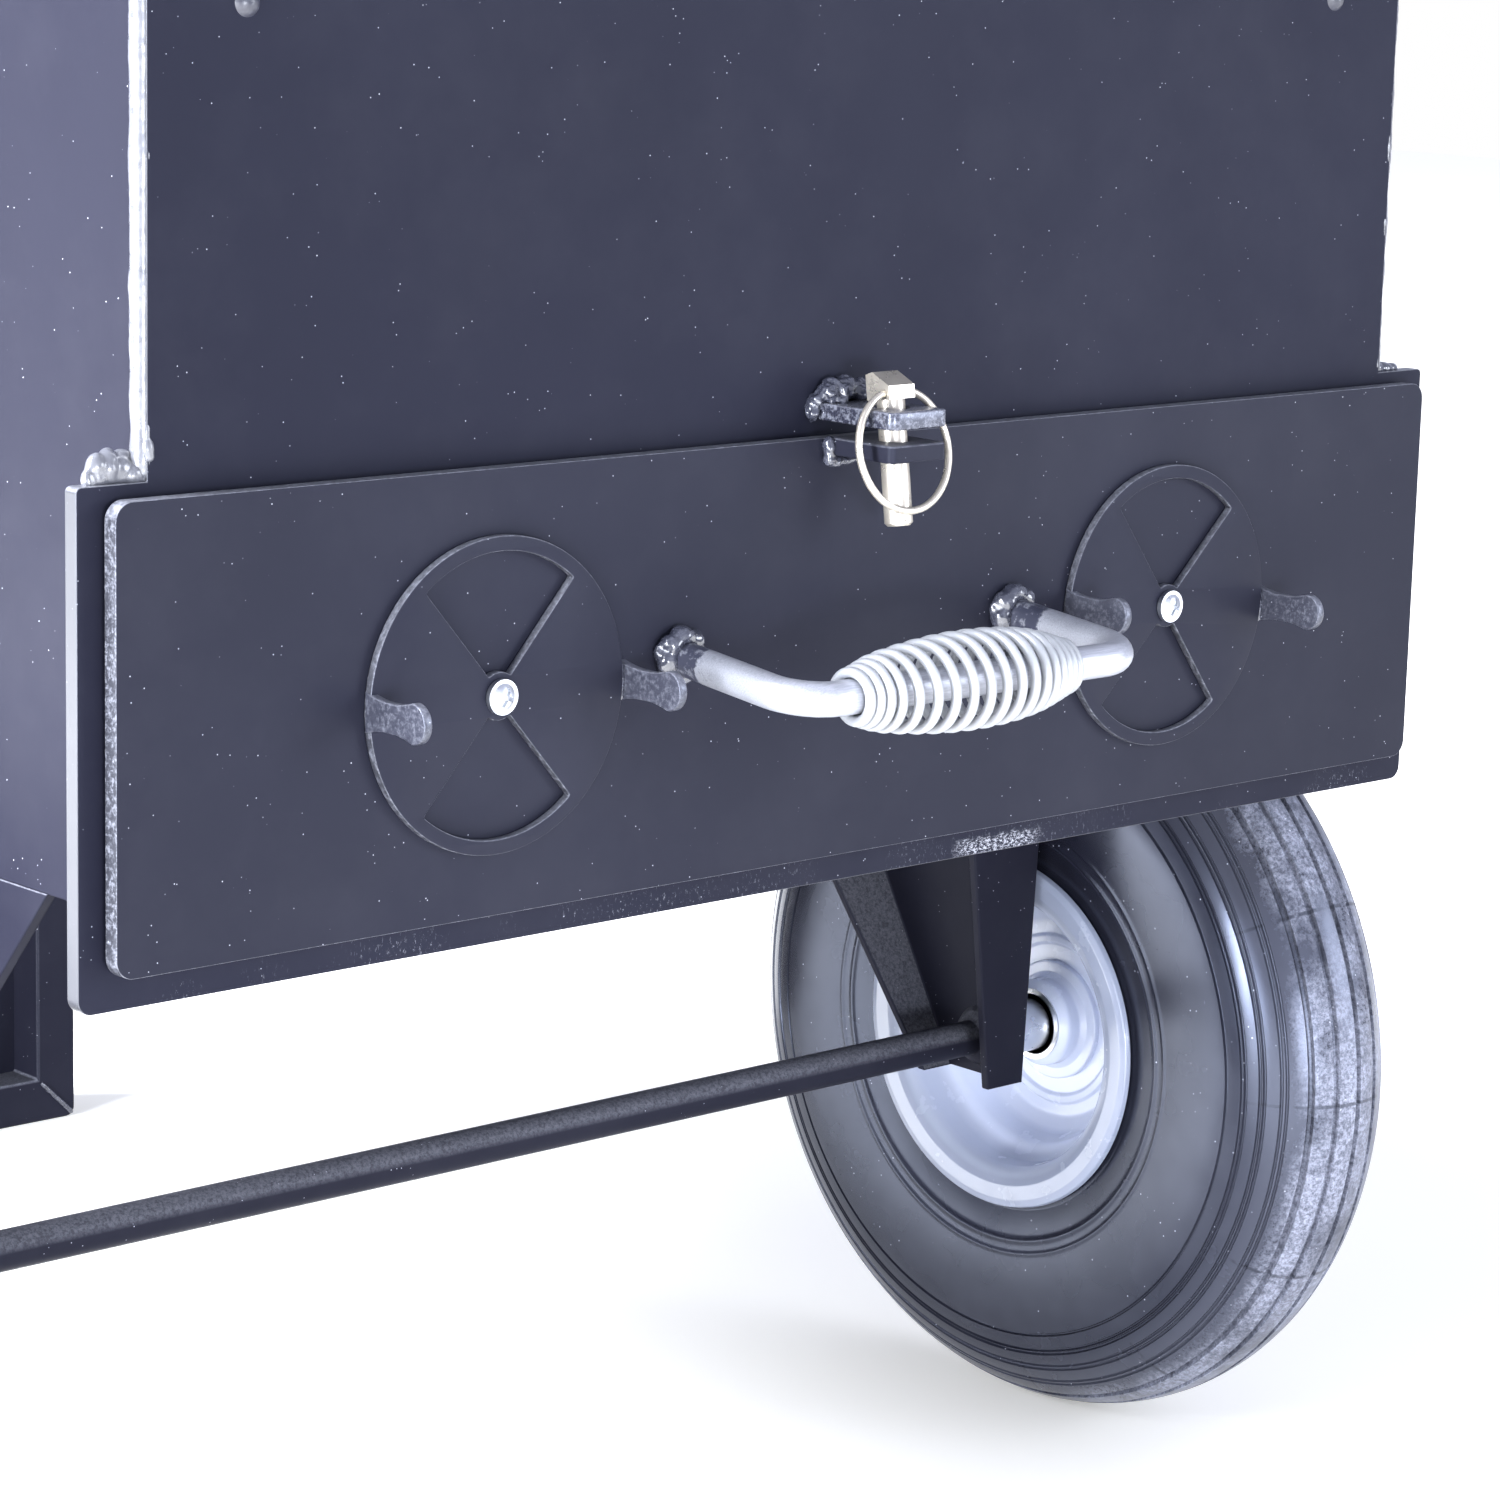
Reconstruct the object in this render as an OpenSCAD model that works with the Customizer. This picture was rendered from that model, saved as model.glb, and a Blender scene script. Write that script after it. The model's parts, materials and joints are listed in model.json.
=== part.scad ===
// Wheeled charcoal cooker base, drawer end: welded steel box on two pneumatic
// wheels and a far leg frame, with a pull-out charcoal drawer.
// Units are mm. X runs along the drawer end, Y runs back along the box, Z is up.
// Origin: on the ground, midway between the wheels, below the end panel's front face.

/* [Box] */
// Outside width of the box
box_w = 457.2; // [380:1:620]
// Outside length of the box
box_l = 696; // [500:1:1000]
// Height of the box sides
box_h = 254; // [200:1:340]
// Height of the box bottom above the ground
box_z = 270.5; // [240:0.5:330]
// Thickness of the drawer end panel
end_t = 4.8; // [3:0.1:8]
// Thickness of the side, floor and far sheets
side_t = 3.2; // [2:0.1:5]

/* [End panel ears] */
// Width across the two ears of the end panel
ear_w = 498; // [470:1:540]
// Height of the lower edge of the ears above the ground
ear_bottom_z = 251; // [235:0.5:262]
// Height of the upper edge of the ears above the ground
ear_top_z = 381; // [379:0.5:400]
// Corner radius of the ears
ear_r = 4; // [2:0.5:14]
// Radius of the ears' upper corners
ear_top_r = 1.5; // [0.5:0.5:4]

/* [Drawer front] */
// Width of the drawer front plate
door_w = 484.6; // [440:0.5:496]
// Height of the drawer front plate
door_h = 117.4; // [110:0.5:122]
// Thickness of the drawer front plate
door_t = 4.8; // [3:0.1:6]
// Height of the drawer front's centre above the ground
door_z = 319; // [316:0.5:324]
// Gap between the drawer front and the end panel
door_gap = 1.9; // [0.5:0.1:3]
// Corner radius of the drawer front
door_r = 5; // [2:0.5:14]

/* [Drawer tray] */
// Outside width of the tray
tray_w = 420; // [380:1:424]
// Height of the tray walls
tray_h = 85; // [75:1:88]
// Length of the tray behind the drawer front
tray_l = 612; // [450:1:630]
// Sheet thickness of the tray
tray_t = 2; // [1.5:0.1:3]
// Distance between the grate's cross rods
grate_pitch = 22; // [16:1:30]

/* [Dampers] */
// Distance from the centre line to each damper
damper_x = 126.3; // [110:0.1:140]
// Outside radius of the damper disc
damper_r = 41.7; // [38:0.1:45]
// Thickness of the damper disc and its thumb tab
damper_t = 2.6; // [2:0.1:4]
// Outer radius of the disc's two windows
window_r = 37.7; // [33:0.1:39]
// Half angle of each window
window_half = 42; // [34:1:43]
// Turn of the right damper at rest, thumb tab raised
damper_set = 4.5; // [0:0.5:10]
// How far the thumb tabs stand out from the drawer front
tab_reach = 25; // [18:0.5:34]

/* [Handle] */
// Distance from the centre line to each handle leg
handle_x = 63; // [50:0.5:75]
// Radius of the handle rod
handle_r = 4.75; // [4:0.05:6.5]
// Distance from the drawer front to the grip bar
handle_reach = 49.6; // [40:0.1:65]
// Centre line radius of the two bends
handle_bend = 13; // [10:0.5:20]
// Downward lean of the handle
handle_lean = 6; // [0:0.5:12]
// Length of the coil spring grip
grip_l = 84; // [70:1:96]
// Sideways place of the coil grip's middle
grip_x0 = -5.8; // [-8:0.1:8]
// Wire radius of the spring grip
grip_wire = 1.45; // [1:0.05:2]
// Number of turns of the spring grip
grip_turns = 18; // [12:1:18]

/* [Latch] */
// Width of the two latch lugs
lug_w = 21; // [16:0.5:25]
// Thickness of the latch lugs
lug_t = 4.8; // [3:0.1:6]
// Distance from the end panel's face to the tip of the lugs
lug_reach = 32; // [29:0.5:34]
// Radius of the latch pin
pin_r = 3.9; // [3:0.05:4]
// Backward lean of the latch pin
pin_lean = 8; // [0:0.5:9]
// Centre line radius of the pin's ring
ring_r = 16.6; // [16:0.1:17.5]
// Wire radius of the ring
ring_wire = 1.05; // [0.8:0.05:1.2]

/* [Wheels] */
// Overall radius of the tyre
tyre_r = 136; // [130:0.5:140]
// Half width of the tyre
tyre_half = 32.5; // [29:0.5:33]
// Distance from the end panel's face to the axle
axle_y = 158.5; // [150:0.5:200]
// Radius of the axle rod
axle_r = 6; // [5:0.05:8]
// Distance from the centre line to the middle of each tyre
wheel_x = 265.3; // [265:0.1:280]
// How much farther out the left wheel stands
wheel_shift = 11; // [0:0.5:15]
// Overall radius of the rim flange
rim_r = 62; // [60:0.5:63]
// Half width of the rim over its flanges
rim_half = 32.6; // [31:0.1:32.8]

/* [Axle brackets] */
// Sheet thickness of the folded axle brackets
brk_t = 3.2; // [2.5:0.1:4]

/* [Leg frame] */
// Half width of the far leg frame
leg_x = 186; // [150:1:200]
// Width of the leg tube as seen from the drawer end
leg_w = 18.4; // [15:0.1:25]
// Depth of the leg tube along the box
leg_d = 38; // [25:0.5:38]
// Distance from the end panel's face to the leg frame
leg_y = 656; // [600:1:656]
// Wall thickness of the leg tube
leg_wall = 2; // [1.5:0.1:3]

/* [Hidden] */
eps = 0.01;
box_x = box_w / 2;
box_top = box_z + box_h;
door_x = door_w / 2;
door_back = -door_gap;
door_front = -door_gap - door_t;
tray_x = tray_w / 2;
tray_z = box_z + side_t + 3.3;
open_x = tray_x + 2;
disc_back = door_front - 0.3;
disc_front = disc_back - damper_t;
pivot_r = 2.4;
pivot_z = door_z;
upper_lug_z = door_z + 63.2;
lower_lug_z = door_z + 54.2;
pin_y = -22;
pin_z = lower_lug_z + lug_t / 2;
pin_low = -20.8;
pin_head = 13.6;
slot_y = pin_y + (upper_lug_z - lower_lug_z) * tan(pin_lean);
ring_y = -2.6;
ring_z = 15.2;
ring_end_x = 5.75;
ring_drop = sqrt(ring_r * ring_r - ring_end_x * ring_end_x);
ring_lean = 5.1;
axle_z = tyre_r;
rail_z = box_top - 29.5;
rail_bolt_x = 199.5;
brk_in = box_x - brk_t;
brk_low = -13.4;
brk_rise = box_z - axle_z;
grip_close = 2.98;

// Node to draw, or all of them

// ---- shared helpers ----

// A box from its low corner to its high corner.
module block(a, b) {
  translate(a) cube([b[0] - a[0], b[1] - a[1], b[2] - a[2]]);
}

// Rectangle with four true round corners, centred.
module round_rect(w, h, r) {
  square([w - 2 * r, h], center = true);
  square([w, h - 2 * r], center = true);
  for (sx = [-1, 1])
    for (sy = [-1, 1])
      translate([sx * (w / 2 - r), sy * (h / 2 - r)]) circle(r = r, $fn = 48);
}

// Stands a drawing made in X and Z up, from depth y0 to y1.
module stand(y0, y1) {
  translate([0, y1, 0]) rotate([90, 0, 0]) linear_extrude(y1 - y0) children();
}

// Lays a drawing made in Y and Z against X, from x0 to x1.
module across(x0, x1) {
  translate([x0, 0, 0]) rotate([90, 0, 90]) linear_extrude(x1 - x0) children();
}

// A cylinder along Y from y0 to y1.
module rod_y(x, z, r, y0, y1, sides = 48) {
  translate([x, y1, z]) rotate([90, 0, 0]) cylinder(r = r, h = y1 - y0, $fn = sides);
}

// A cylinder along X from x0 to x1.
module rod_x(y, z, r, x0, x1, sides = 48) {
  translate([x0, y, z]) rotate([0, 90, 0]) cylinder(r = r, h = x1 - x0, $fn = sides);
}

// Pie slice about the origin, centred on direction dir.
module pie(r_in, r_out, dir, half) {
  difference() {
    intersection() {
      circle(r = r_out, $fn = 96);
      rotate(dir) polygon([[0, 0], [2 * r_out * cos(half), -2 * r_out * sin(half)],
        [2 * r_out * cos(half), 2 * r_out * sin(half)]]);
    }
    circle(r = r_in, $fn = 48);
  }
}

// Thumb tab outline: y is how far it stands out, z is its width.
module tab_outline(y0) {
  tip = 5.3 - tab_reach;
  polygon([[y0, -5.3], [-5, -4.8], [-10, -4], [tip + 4, -4.1], [tip, -5.3], [tip, 5.3], [tip + 4, 4.1],
    [-10, 4], [-5, 4.8], [y0, 5.3]]);
  translate([tip, 0]) circle(r = 5.3, $fn = 48);
}

// ---- box ----

module end_panel() {
  color("#2b2b30") stand(0, end_t) difference() {
    union() {
      translate([0, (ear_top_z + ear_bottom_z) / 2]) round_rect(ear_w, ear_top_z - ear_bottom_z, ear_r);
      translate([0, ear_top_z - 20]) round_rect(ear_w, 40, ear_top_r);
      translate([-box_x, ear_top_z - 20]) square([box_w, box_top - ear_top_z + 20]);
    }
    translate([-open_x, tray_z - 1.2]) square([2 * open_x, tray_h + 4]);
    for (s = [-1, 1]) translate([s * rail_bolt_x, rail_z]) circle(r = 2.1, $fn = 32);
  }
}

module side_sheet(s) {
  a = s < 0 ? -box_x : box_x - side_t;
  color("#2b2b30") block([a, end_t, box_z], [a + side_t, box_l - side_t, box_top]);
}

module far_panel() {
  color("#2b2b30") stand(box_l - side_t, box_l) difference() {
    translate([-box_x, box_z]) square([box_w, box_h]);
    for (s = [-1, 1]) translate([s * rail_bolt_x, rail_z]) circle(r = 2.1, $fn = 32);
  }
}

module box_floor() {
  x = box_x - side_t;
  color("#2b2b30") block([-x, end_t, box_z], [x, box_l - side_t, box_z + side_t]);
}

// Weld beads down the two front corners, above the ears.
module corner_welds() {
  color("#3a3a40") for (s = [-1, 1]) intersection() {
    translate([s * box_x, end_t, ear_top_z]) cylinder(r = 2.4, h = box_top - ear_top_z - 1, $fn = 32);
    block([s < 0 ? -box_x - 5 : box_x, 0, ear_top_z], [s < 0 ? -box_x : box_x + 5, 12, box_top]);
  }
}

// Angle rail across one end, carrying the cooking grate above the fire.
module rail(y, dir) {
  x = box_x - side_t - 6;
  a = dir > 0 ? y : y - 3;
  b = dir > 0 ? y : y - 22;
  color("#2b2b30") difference() {
    union() {
      block([-x, a, rail_z - 11], [x, a + 3, rail_z + 11]);
      block([-x, b, rail_z + 8], [x, b + 22, rail_z + 11]);
    }
    for (s = [-1, 1]) rod_y(s * rail_bolt_x, rail_z, 2.1, y - 10, y + 10);
  }
}

module rail_bolts() {
  color("#55565c") for (s = [-1, 1]) {
    rod_y(s * rail_bolt_x, rail_z, 2, 0, end_t + 9);
    translate([s * rail_bolt_x, 0, rail_z]) rotate([90, 0, 0]) bolt_dome();
    rod_y(s * rail_bolt_x, rail_z, 2, box_l - side_t - 9, box_l);
    translate([s * rail_bolt_x, box_l, rail_z]) rotate([-90, 0, 0]) bolt_dome();
  }
}

// Low round screw head, 7.4 mm across.
module bolt_dome() {
  rotate_extrude($fn = 48) intersection() {
    translate([0, -2.22]) circle(r = 4.32, $fn = 64);
    square([3.7, 3]);
  }
}

module rail_nuts() {
  color("#8d8f94") for (s = [-1, 1]) {
    difference() {
      rod_y(s * rail_bolt_x, rail_z, 4, end_t + 3, end_t + 6.2, 6);
      rod_y(s * rail_bolt_x, rail_z, 2.02, end_t, end_t + 10);
    }
    difference() {
      rod_y(s * rail_bolt_x, rail_z, 4, box_l - side_t - 6.2, box_l - side_t - 3, 6);
      rod_y(s * rail_bolt_x, rail_z, 2.02, box_l - side_t - 10, box_l - side_t);
    }
  }
}

// Angle runner under one tray side, with a guide leg outside it.
module runner(s) {
  z = box_z + side_t;
  a = s < 0 ? -open_x - 2 : tray_x - 18;
  g = s < 0 ? -open_x - 2 : tray_x + 1;
  color("#2b2b30") {
    block([a, end_t + 0.5, z], [a + 22, 640, z + 3]);
    block([g, end_t + 0.5, z], [g + 3, 640, z + 20]);
  }
}

// Upper latch lug. Its hole is open to the front so the pin can ride out with the drawer.
module upper_lug() {
  color("#26262b") translate([0, 0, upper_lug_z]) linear_extrude(lug_t) difference() {
    lug_outline(0);
    translate([0, slot_y]) circle(r = pin_r + 0.8, $fn = 64);
    translate([-pin_r - 0.45, -lug_reach - 1]) square([2 * pin_r + 0.9, lug_reach + 1 + slot_y]);
  }
}

// Lug plan from y0 out to the rounded tip.
module lug_outline(y0) {
  translate([-lug_w / 2, -lug_reach + 2]) square([lug_w, lug_reach - 2 + y0]);
  translate([-lug_w / 2 + 2, -lug_reach]) square([lug_w - 4, 5]);
  for (s = [-1, 1]) translate([s * (lug_w / 2 - 2), -lug_reach + 2]) circle(r = 2, $fn = 32);
}

// ---- axle brackets and axle ----

// Sheet bracket: an upright web with a flange turned inward on its steep edge.
// back is the sloping edge's run at the box bottom, knee the height it starts from.
module bracket(back, knee) {
  t = brk_t;
  foot = knee > brk_low ? [[16.3, brk_low], [16.3, knee]] : [[16.3, brk_low]];
  difference() {
    union() {
      across(brk_in, brk_in + t) polygon(concat([[-18, brk_low]], foot, [[back, brk_rise],
        [-24.5, brk_rise]]));
      bracket_flange(-18, -24.5, t);
      children();
    }
    rod_x(0, 0, axle_r + 0.05, brk_in - 1, brk_in + t + 1);
  }
}

// One flange, from y0 at the foot to y1 at the box bottom, wider at the top.
module bracket_flange(y0, y1, t) {
  run = brk_rise - brk_low;
  intersection() {
    across(brk_in - 60, brk_in) polygon([[y0, brk_low], [y0 + t, brk_low],
      [y1 + t, brk_rise], [y1, brk_rise]]);
    stand(-60, 200) polygon([[brk_in, brk_low], [brk_in - 13.2, brk_low],
      [brk_in - 13.2 - run * 0.1677, brk_rise], [brk_in, brk_rise]]);
  }
}

module bracket_right() {
  color("#26262b") translate([0, axle_y, axle_z]) bracket(101, brk_low)
    bracket_flange(16.3 - brk_t, 101 - brk_t, brk_t);
}

module bracket_left() {
  color("#26262b") translate([0, axle_y, axle_z]) rotate([0, 0, 180]) bracket(114, 21);
}

// Middle of the wheel on side s.
function wheel_at(s) = s * wheel_x - (s < 0 ? wheel_shift : 0);

module axle() {
  color("#26262b") difference() {
    rod_x(axle_y, axle_z, axle_r, wheel_at(-1) - 48, wheel_at(1) + 48);
    for (s = [-1, 1])
      translate([wheel_at(s) + s * 36, axle_y, axle_z - 10]) cylinder(r = 1.7, h = 20, $fn = 24);
  }
}

// Fillet welds where the axle meets the two bracket webs.
module axle_welds() {
  color("#26262b") for (s = [-1, 1]) translate([s * brk_in, axle_y, axle_z]) rotate([0, -90 * s, 0])
    rotate_extrude($fn = 48) polygon([[axle_r + 0.02, 0], [axle_r + 4.4, 0], [axle_r + 3, 2.4],
      [axle_r + 0.02, 5]]);
}

// Spacer tubes between each bracket and its wheel hub.
module axle_spacers() {
  color("#6f7178") for (s = [-1, 1]) {
    a = s < 0 ? wheel_at(-1) + 14.4 : brk_in + brk_t;
    b = s < 0 ? -brk_in - brk_t : wheel_at(1) - 14.4;
    difference() {
      rod_x(axle_y, axle_z, 9, a, b);
      rod_x(axle_y, axle_z, axle_r + 0.05, a - 1, b + 1);
    }
  }
}

module axle_washers() {
  color("#b9bcc2") for (s = [-1, 1]) {
    a = s < 0 ? wheel_at(-1) - 33 : wheel_at(1) + 31;
    difference() {
      rod_x(axle_y, axle_z, 12, a, a + 2);
      rod_x(axle_y, axle_z, axle_r + 0.1, a - 1, a + 3);
    }
  }
}

module cotter_pins() {
  color("#b9bcc2") for (s = [-1, 1]) translate([wheel_at(s) + s * 36, axle_y, axle_z]) {
    translate([0, 0, -12]) cylinder(r = 1.5, h = 20, $fn = 24);
    translate([0, 0, 11]) rotate([0, 90, 0])
      rotate_extrude($fn = 48) translate([3, 0]) circle(r = 1.2, $fn = 24);
  }
}

// ---- far leg frame ----

module leg_outline(inset, top) {
  difference() {
    translate([0, top / 2 + inset / 2]) square([2 * leg_x - 2 * inset, top - inset], center = true);
    translate([0, top / 2 + leg_w / 2 - inset / 2 + 30])
      square([2 * leg_x - 2 * leg_w + 2 * inset, top - leg_w + inset + 60], center = true);
    for (s = [-1, 1]) if (inset == 0) translate([s * (leg_x - 4), 4]) difference() {
      translate([s * 4, -4]) square(8, center = true);
      circle(r = 4, $fn = 48);
    }
  }
}

module leg_frame() {
  color("#26262b") difference() {
    stand(leg_y, leg_y + leg_d) leg_outline(0, box_z);
    stand(leg_y + leg_wall, leg_y + leg_d - leg_wall) leg_outline(leg_wall, box_z + 20);
  }
}

// Sheet closing the leg frame, let in at the middle of its depth.
module leg_panel() {
  color("#26262b") stand(leg_y + leg_d / 2 - 1, leg_y + leg_d / 2 + 1)
    translate([-leg_x + leg_w, leg_w]) square([2 * (leg_x - leg_w), box_z - leg_w]);
}

// ---- drawer ----

module drawer_front() {
  color("#2d2e33") stand(door_front, door_back) difference() {
    translate([0, door_z]) round_rect(door_w, door_h, door_r);
    for (s = [-1, 1]) translate([s * damper_x, door_z]) {
      circle(r = pivot_r + 0.05, $fn = 32);
      pie(11, 35, 0, 38);
      pie(11, 35, 180, 38);
    }
  }
}

// Open-topped tray behind the drawer front, which is its front wall.
module drawer_tray() {
  z = tray_z;
  color("#55565c") {
    block([-tray_x, door_back, z], [tray_x, tray_l, z + tray_t]);
    block([-tray_x, door_back, z], [-tray_x + tray_t, tray_l, z + tray_h]);
    block([tray_x - tray_t, door_back, z], [tray_x, tray_l, z + tray_h]);
    block([-tray_x, tray_l - tray_t, z], [tray_x, tray_l, z + tray_h]);
  }
}

// Two ledges inside the tray that hold the grate off the bottom.
module grate_ledges() {
  z = tray_z + tray_t;
  color("#55565c") for (s = [-1, 1]) {
    a = s < 0 ? -tray_x + tray_t : tray_x - tray_t - 12;
    block([a, 20, z], [a + 12, tray_l - 20, z + 18]);
  }
}

module charcoal_grate() {
  z = tray_z + tray_t + 18;
  n = floor((tray_l - 60) / grate_pitch);
  color("#5b5c61") {
    for (s = [-1, 1]) block([s * (tray_x - 9) - 5, 24, z], [s * (tray_x - 9) + 5, tray_l - 24, z + 5]);
    block([-5, 24, z], [5, tray_l - 24, z + 5]);
    for (i = [0 : n]) rod_x(30 + i * grate_pitch, z + 6, 3, -tray_x + 5, tray_x - 5, 32);
  }
}

// Places children in the leaning plane of the handle, with -Y as its outward axis.
module handle_frame() {
  translate([0, door_front, door_z + 3.7]) rotate([handle_lean, 0, 0]) children();
}

module handle_bar() {
  leg = handle_reach - handle_bend;
  color("#c9ccd1") difference() {
    handle_frame() {
      for (s = [-1, 1]) {
        rod_y(s * handle_x, 0, handle_r, -leg, 3);
        translate([s * (handle_x - handle_bend), -leg, 0]) rotate([0, 0, s > 0 ? -90 : 180])
          rotate_extrude(angle = 90, $fn = 96) translate([handle_bend, 0]) circle(r = handle_r, $fn = 48);
      }
      rod_x(-handle_reach, 0, handle_r, -handle_x + handle_bend, handle_x - handle_bend);
    }
    block([-handle_x - 20, door_front, door_z - 30], [handle_x + 20, door_front + 20, door_z + 30]);
  }
}

// Weld collars at the two handle roots.
module handle_welds() {
  color("#9a9da3") for (s = [-1, 1]) difference() {
    translate([s * handle_x, door_front, door_z + 3.7]) rotate([90, 0, 0])
      rotate_extrude($fn = 48) polygon([[0, 0], [8.4, 0], [7.6, 2.6], [6, 4.6], [0, 4.6]]);
    handle_frame() rod_y(s * handle_x, 0, handle_r + 0.02, -12, 6);
  }
}

// Soft step that grows by one turn per turn after turn a, blended over w turns.
function ramp(t, a, w) = w * ln(1 + exp((t - a) / w));
// Distance along the grip at turn t: close turns, open turns, then close again.
function grip_run(t) = grip_close * t + 3.6 * (ramp(t, 3.6, 0.35) - ramp(t, 12.6, 1.1));
function grip_x(u) = (grip_run(u * grip_turns) / grip_run(grip_turns) - 0.5) * (grip_l - 2 * grip_wire);
function grip_rad(u) = handle_r + grip_wire + 0.15 + 5.9 * pow(sin(180 * u), 1.25);
function grip_pt(u, a) = [grip_x(u) + grip_wire * sin(a),
  (grip_rad(u) + grip_wire * cos(a)) * cos(360 * grip_turns * u),
  (grip_rad(u) + grip_wire * cos(a)) * sin(360 * grip_turns * u)];

// Barrel shaped coil spring around the grip bar.
module spring_grip() {
  seg = grip_turns * 18;
  sides = 6;
  pts = [for (i = [0 : seg]) for (j = [0 : sides - 1]) grip_pt(i / seg, 360 * j / sides)];
  quads = [for (i = [0 : seg - 1]) for (j = [0 : sides - 1])
    [i * sides + j, (i + 1) * sides + j, (i + 1) * sides + (j + 1) % sides, i * sides + (j + 1) % sides]];
  first = [for (j = [0 : sides - 1]) j];
  last = [for (j = [0 : sides - 1]) seg * sides + sides - 1 - j];
  color("#dfe1e6") handle_frame() translate([grip_x0, -handle_reach, 0])
    polyhedron(points = pts, faces = concat(quads, [first, last]), convexity = 10);
}

module lower_lug() {
  color("#26262b") difference() {
    translate([0, 0, lower_lug_z]) linear_extrude(lug_t) lug_outline(door_front);
    pin_frame() translate([0, 0, -8]) cylinder(r = pin_r + 0.08, h = 16, $fn = 64);
  }
}

// Fixed thumb tabs beside the two dampers.
module stop_tabs() {
  color("#26262b") for (s = [-1, 1]) {
    x = s * damper_x + damper_r + 0.7;
    translate([0, door_front, door_z - (s > 0 ? 3.6 : 0.6)]) across(x, x + damper_t) tab_outline(0);
  }
}

module pivot_screws() {
  color("#d8dade") for (s = [-1, 1]) difference() {
    union() {
      rod_y(s * damper_x, pivot_z, pivot_r, disc_front - 0.3, door_back + 7);
      translate([s * damper_x, disc_front - 0.3, pivot_z]) rotate([90, 0, 0]) pan_head();
    }
    translate([s * damper_x, disc_front - 2.9, pivot_z]) for (a = [20, 110])
      rotate([0, a, 0]) cube([5.2, 3, 1.1], center = true);
  }
}

// Pan head 9.4 mm across and 2.9 mm high.
module pan_head() {
  rotate_extrude($fn = 64) {
    square([4.7, 1.5]);
    intersection() {
      translate([0, -2.6]) circle(r = 5.5, $fn = 96);
      square([4.7, 3]);
    }
  }
}

module pivot_washers() {
  color("#b9bcc2") for (s = [-1, 1]) difference() {
    rod_y(s * damper_x, pivot_z, 6, door_back, door_back + 1.2);
    rod_y(s * damper_x, pivot_z, pivot_r + 0.1, door_back - 1, door_back + 3);
  }
}

module pivot_nuts() {
  color("#b9bcc2") for (s = [-1, 1]) difference() {
    rod_y(s * damper_x, pivot_z, 4.9, door_back + 1.2, door_back + 5.2, 6);
    rod_y(s * damper_x, pivot_z, pivot_r + 0.02, door_back, door_back + 8);
  }
}

// ---- dampers ----

// Turning disc with two open windows and a thumb tab at its left edge.
module damper() {
  color("#2d2e33") {
    stand(disc_front, disc_back) difference() {
      circle(r = damper_r, $fn = 128);
      circle(r = pivot_r + 0.08, $fn = 32);
      pie(6.2, window_r, 90, window_half);
      pie(6.2, window_r, 270, window_half);
    }
    intersection() {
      translate([0, door_front, 0]) across(-damper_r, -damper_r + damper_t) tab_outline(-0.3 - damper_t / 2);
      block([-damper_r, -60, -10], [-damper_r + damper_t, disc_back, 10]);
    }
  }
}

module damper_left() {
  translate([-damper_x, 0, door_z]) damper();
}

module damper_right() {
  translate([damper_x, 0, door_z]) rotate([0, damper_set, 0]) damper();
}

// ---- latch pin and ring ----

// Places children on the leaning pin: origin in the lower lug, Z up the pin.
module pin_frame() {
  translate([0, pin_y, pin_z]) rotate([-pin_lean, 0, 0]) children();
}

module latch_pin() {
  w = pin_head;
  head = [[4.2, w], [4.2, w + 7], [1.6, w + 7.6], [-4.6, w + 3.7], [-4.6, w]];
  color("#e2ddc8") pin_frame() difference() {
    union() {
      translate([0, 0, pin_low + 0.8]) cylinder(r = pin_r, h = w - pin_low, $fn = 64);
      translate([0, 0, pin_low]) cylinder(r1 = pin_r - 0.8, r2 = pin_r, h = 0.8, $fn = 64);
      across(-4.8, 4.8) polygon(head);
    }
    rod_x(ring_y, ring_z, ring_wire + 0.08, -10, 10, 32);
  }
}

// Open wire ring whose two ends turn in the pin's head.
module pin_ring() {
  gap = asin(ring_end_x / ring_r);
  color("#e6e3d6") pin_frame() translate([0, ring_y, ring_z]) rotate([-ring_lean, 0, 0]) {
    translate([0, 0, -ring_drop]) rotate([90, 0, 0]) rotate([0, 0, 90 + gap])
      rotate_extrude(angle = 360 - 2 * gap, $fn = 128) translate([ring_r, 0]) circle(r = ring_wire, $fn = 32);
    for (s = [-1, 1]) {
      translate([s * ring_end_x, 0, 0]) sphere(r = ring_wire + 0.06, $fn = 32);
      rod_x(0, 0, ring_wire, s < 0 ? -ring_end_x : 2, s < 0 ? -2 : ring_end_x, 32);
    }
  }
}

// ---- wheels, drawn about their own centre with the axle along X ----

// Turns a profile drawn with x as radius and y as width about the X axis.
module spin_x() {
  rotate([0, 90, 0]) rotate_extrude($fn = 160) children();
}

// Half width of the tyre at radius r: rounded crown, flatter lower side wall.
function tyre_w(r) = r > 97
  ? tyre_half * pow(1 - pow((r - 97) / (tyre_r - 97), 2.1), 0.476)
  : tyre_half - 4.1 * pow((97 - r) / 34.2, 2);
// Radius of point i of n down the side of the tyre.
function tyre_step(i, n) = tyre_r - (tyre_r - 66) * pow(i / n, 1.7);

module tyre_body() {
  n = 16;
  right = [for (i = [n : -1 : 0]) [tyre_step(i, n), tyre_w(tyre_step(i, n))]];
  left = [for (i = [0 : n]) [tyre_step(i, n), -tyre_w(tyre_step(i, n))]];
  bead = [[50.6, 22], [50.9, 28.4], [56, 29.5], [60, 29.2], [62.8, 28.4]];
  bead_back = [for (i = [4 : -1 : 0]) [bead[i][0], -bead[i][1]]];
  difference() {
    spin_x() polygon(concat(bead, right, left, bead_back));
    spin_x() translate([97, 0]) circle(r = 26.5, $fn = 72);
    spin_x() translate([50, -22]) square([40, 44]);
    for (w = [-24, -17.8, -9.3, 0, 9.3, 17.8, 24]) spin_x() tread_groove(w);
  }
}

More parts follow.
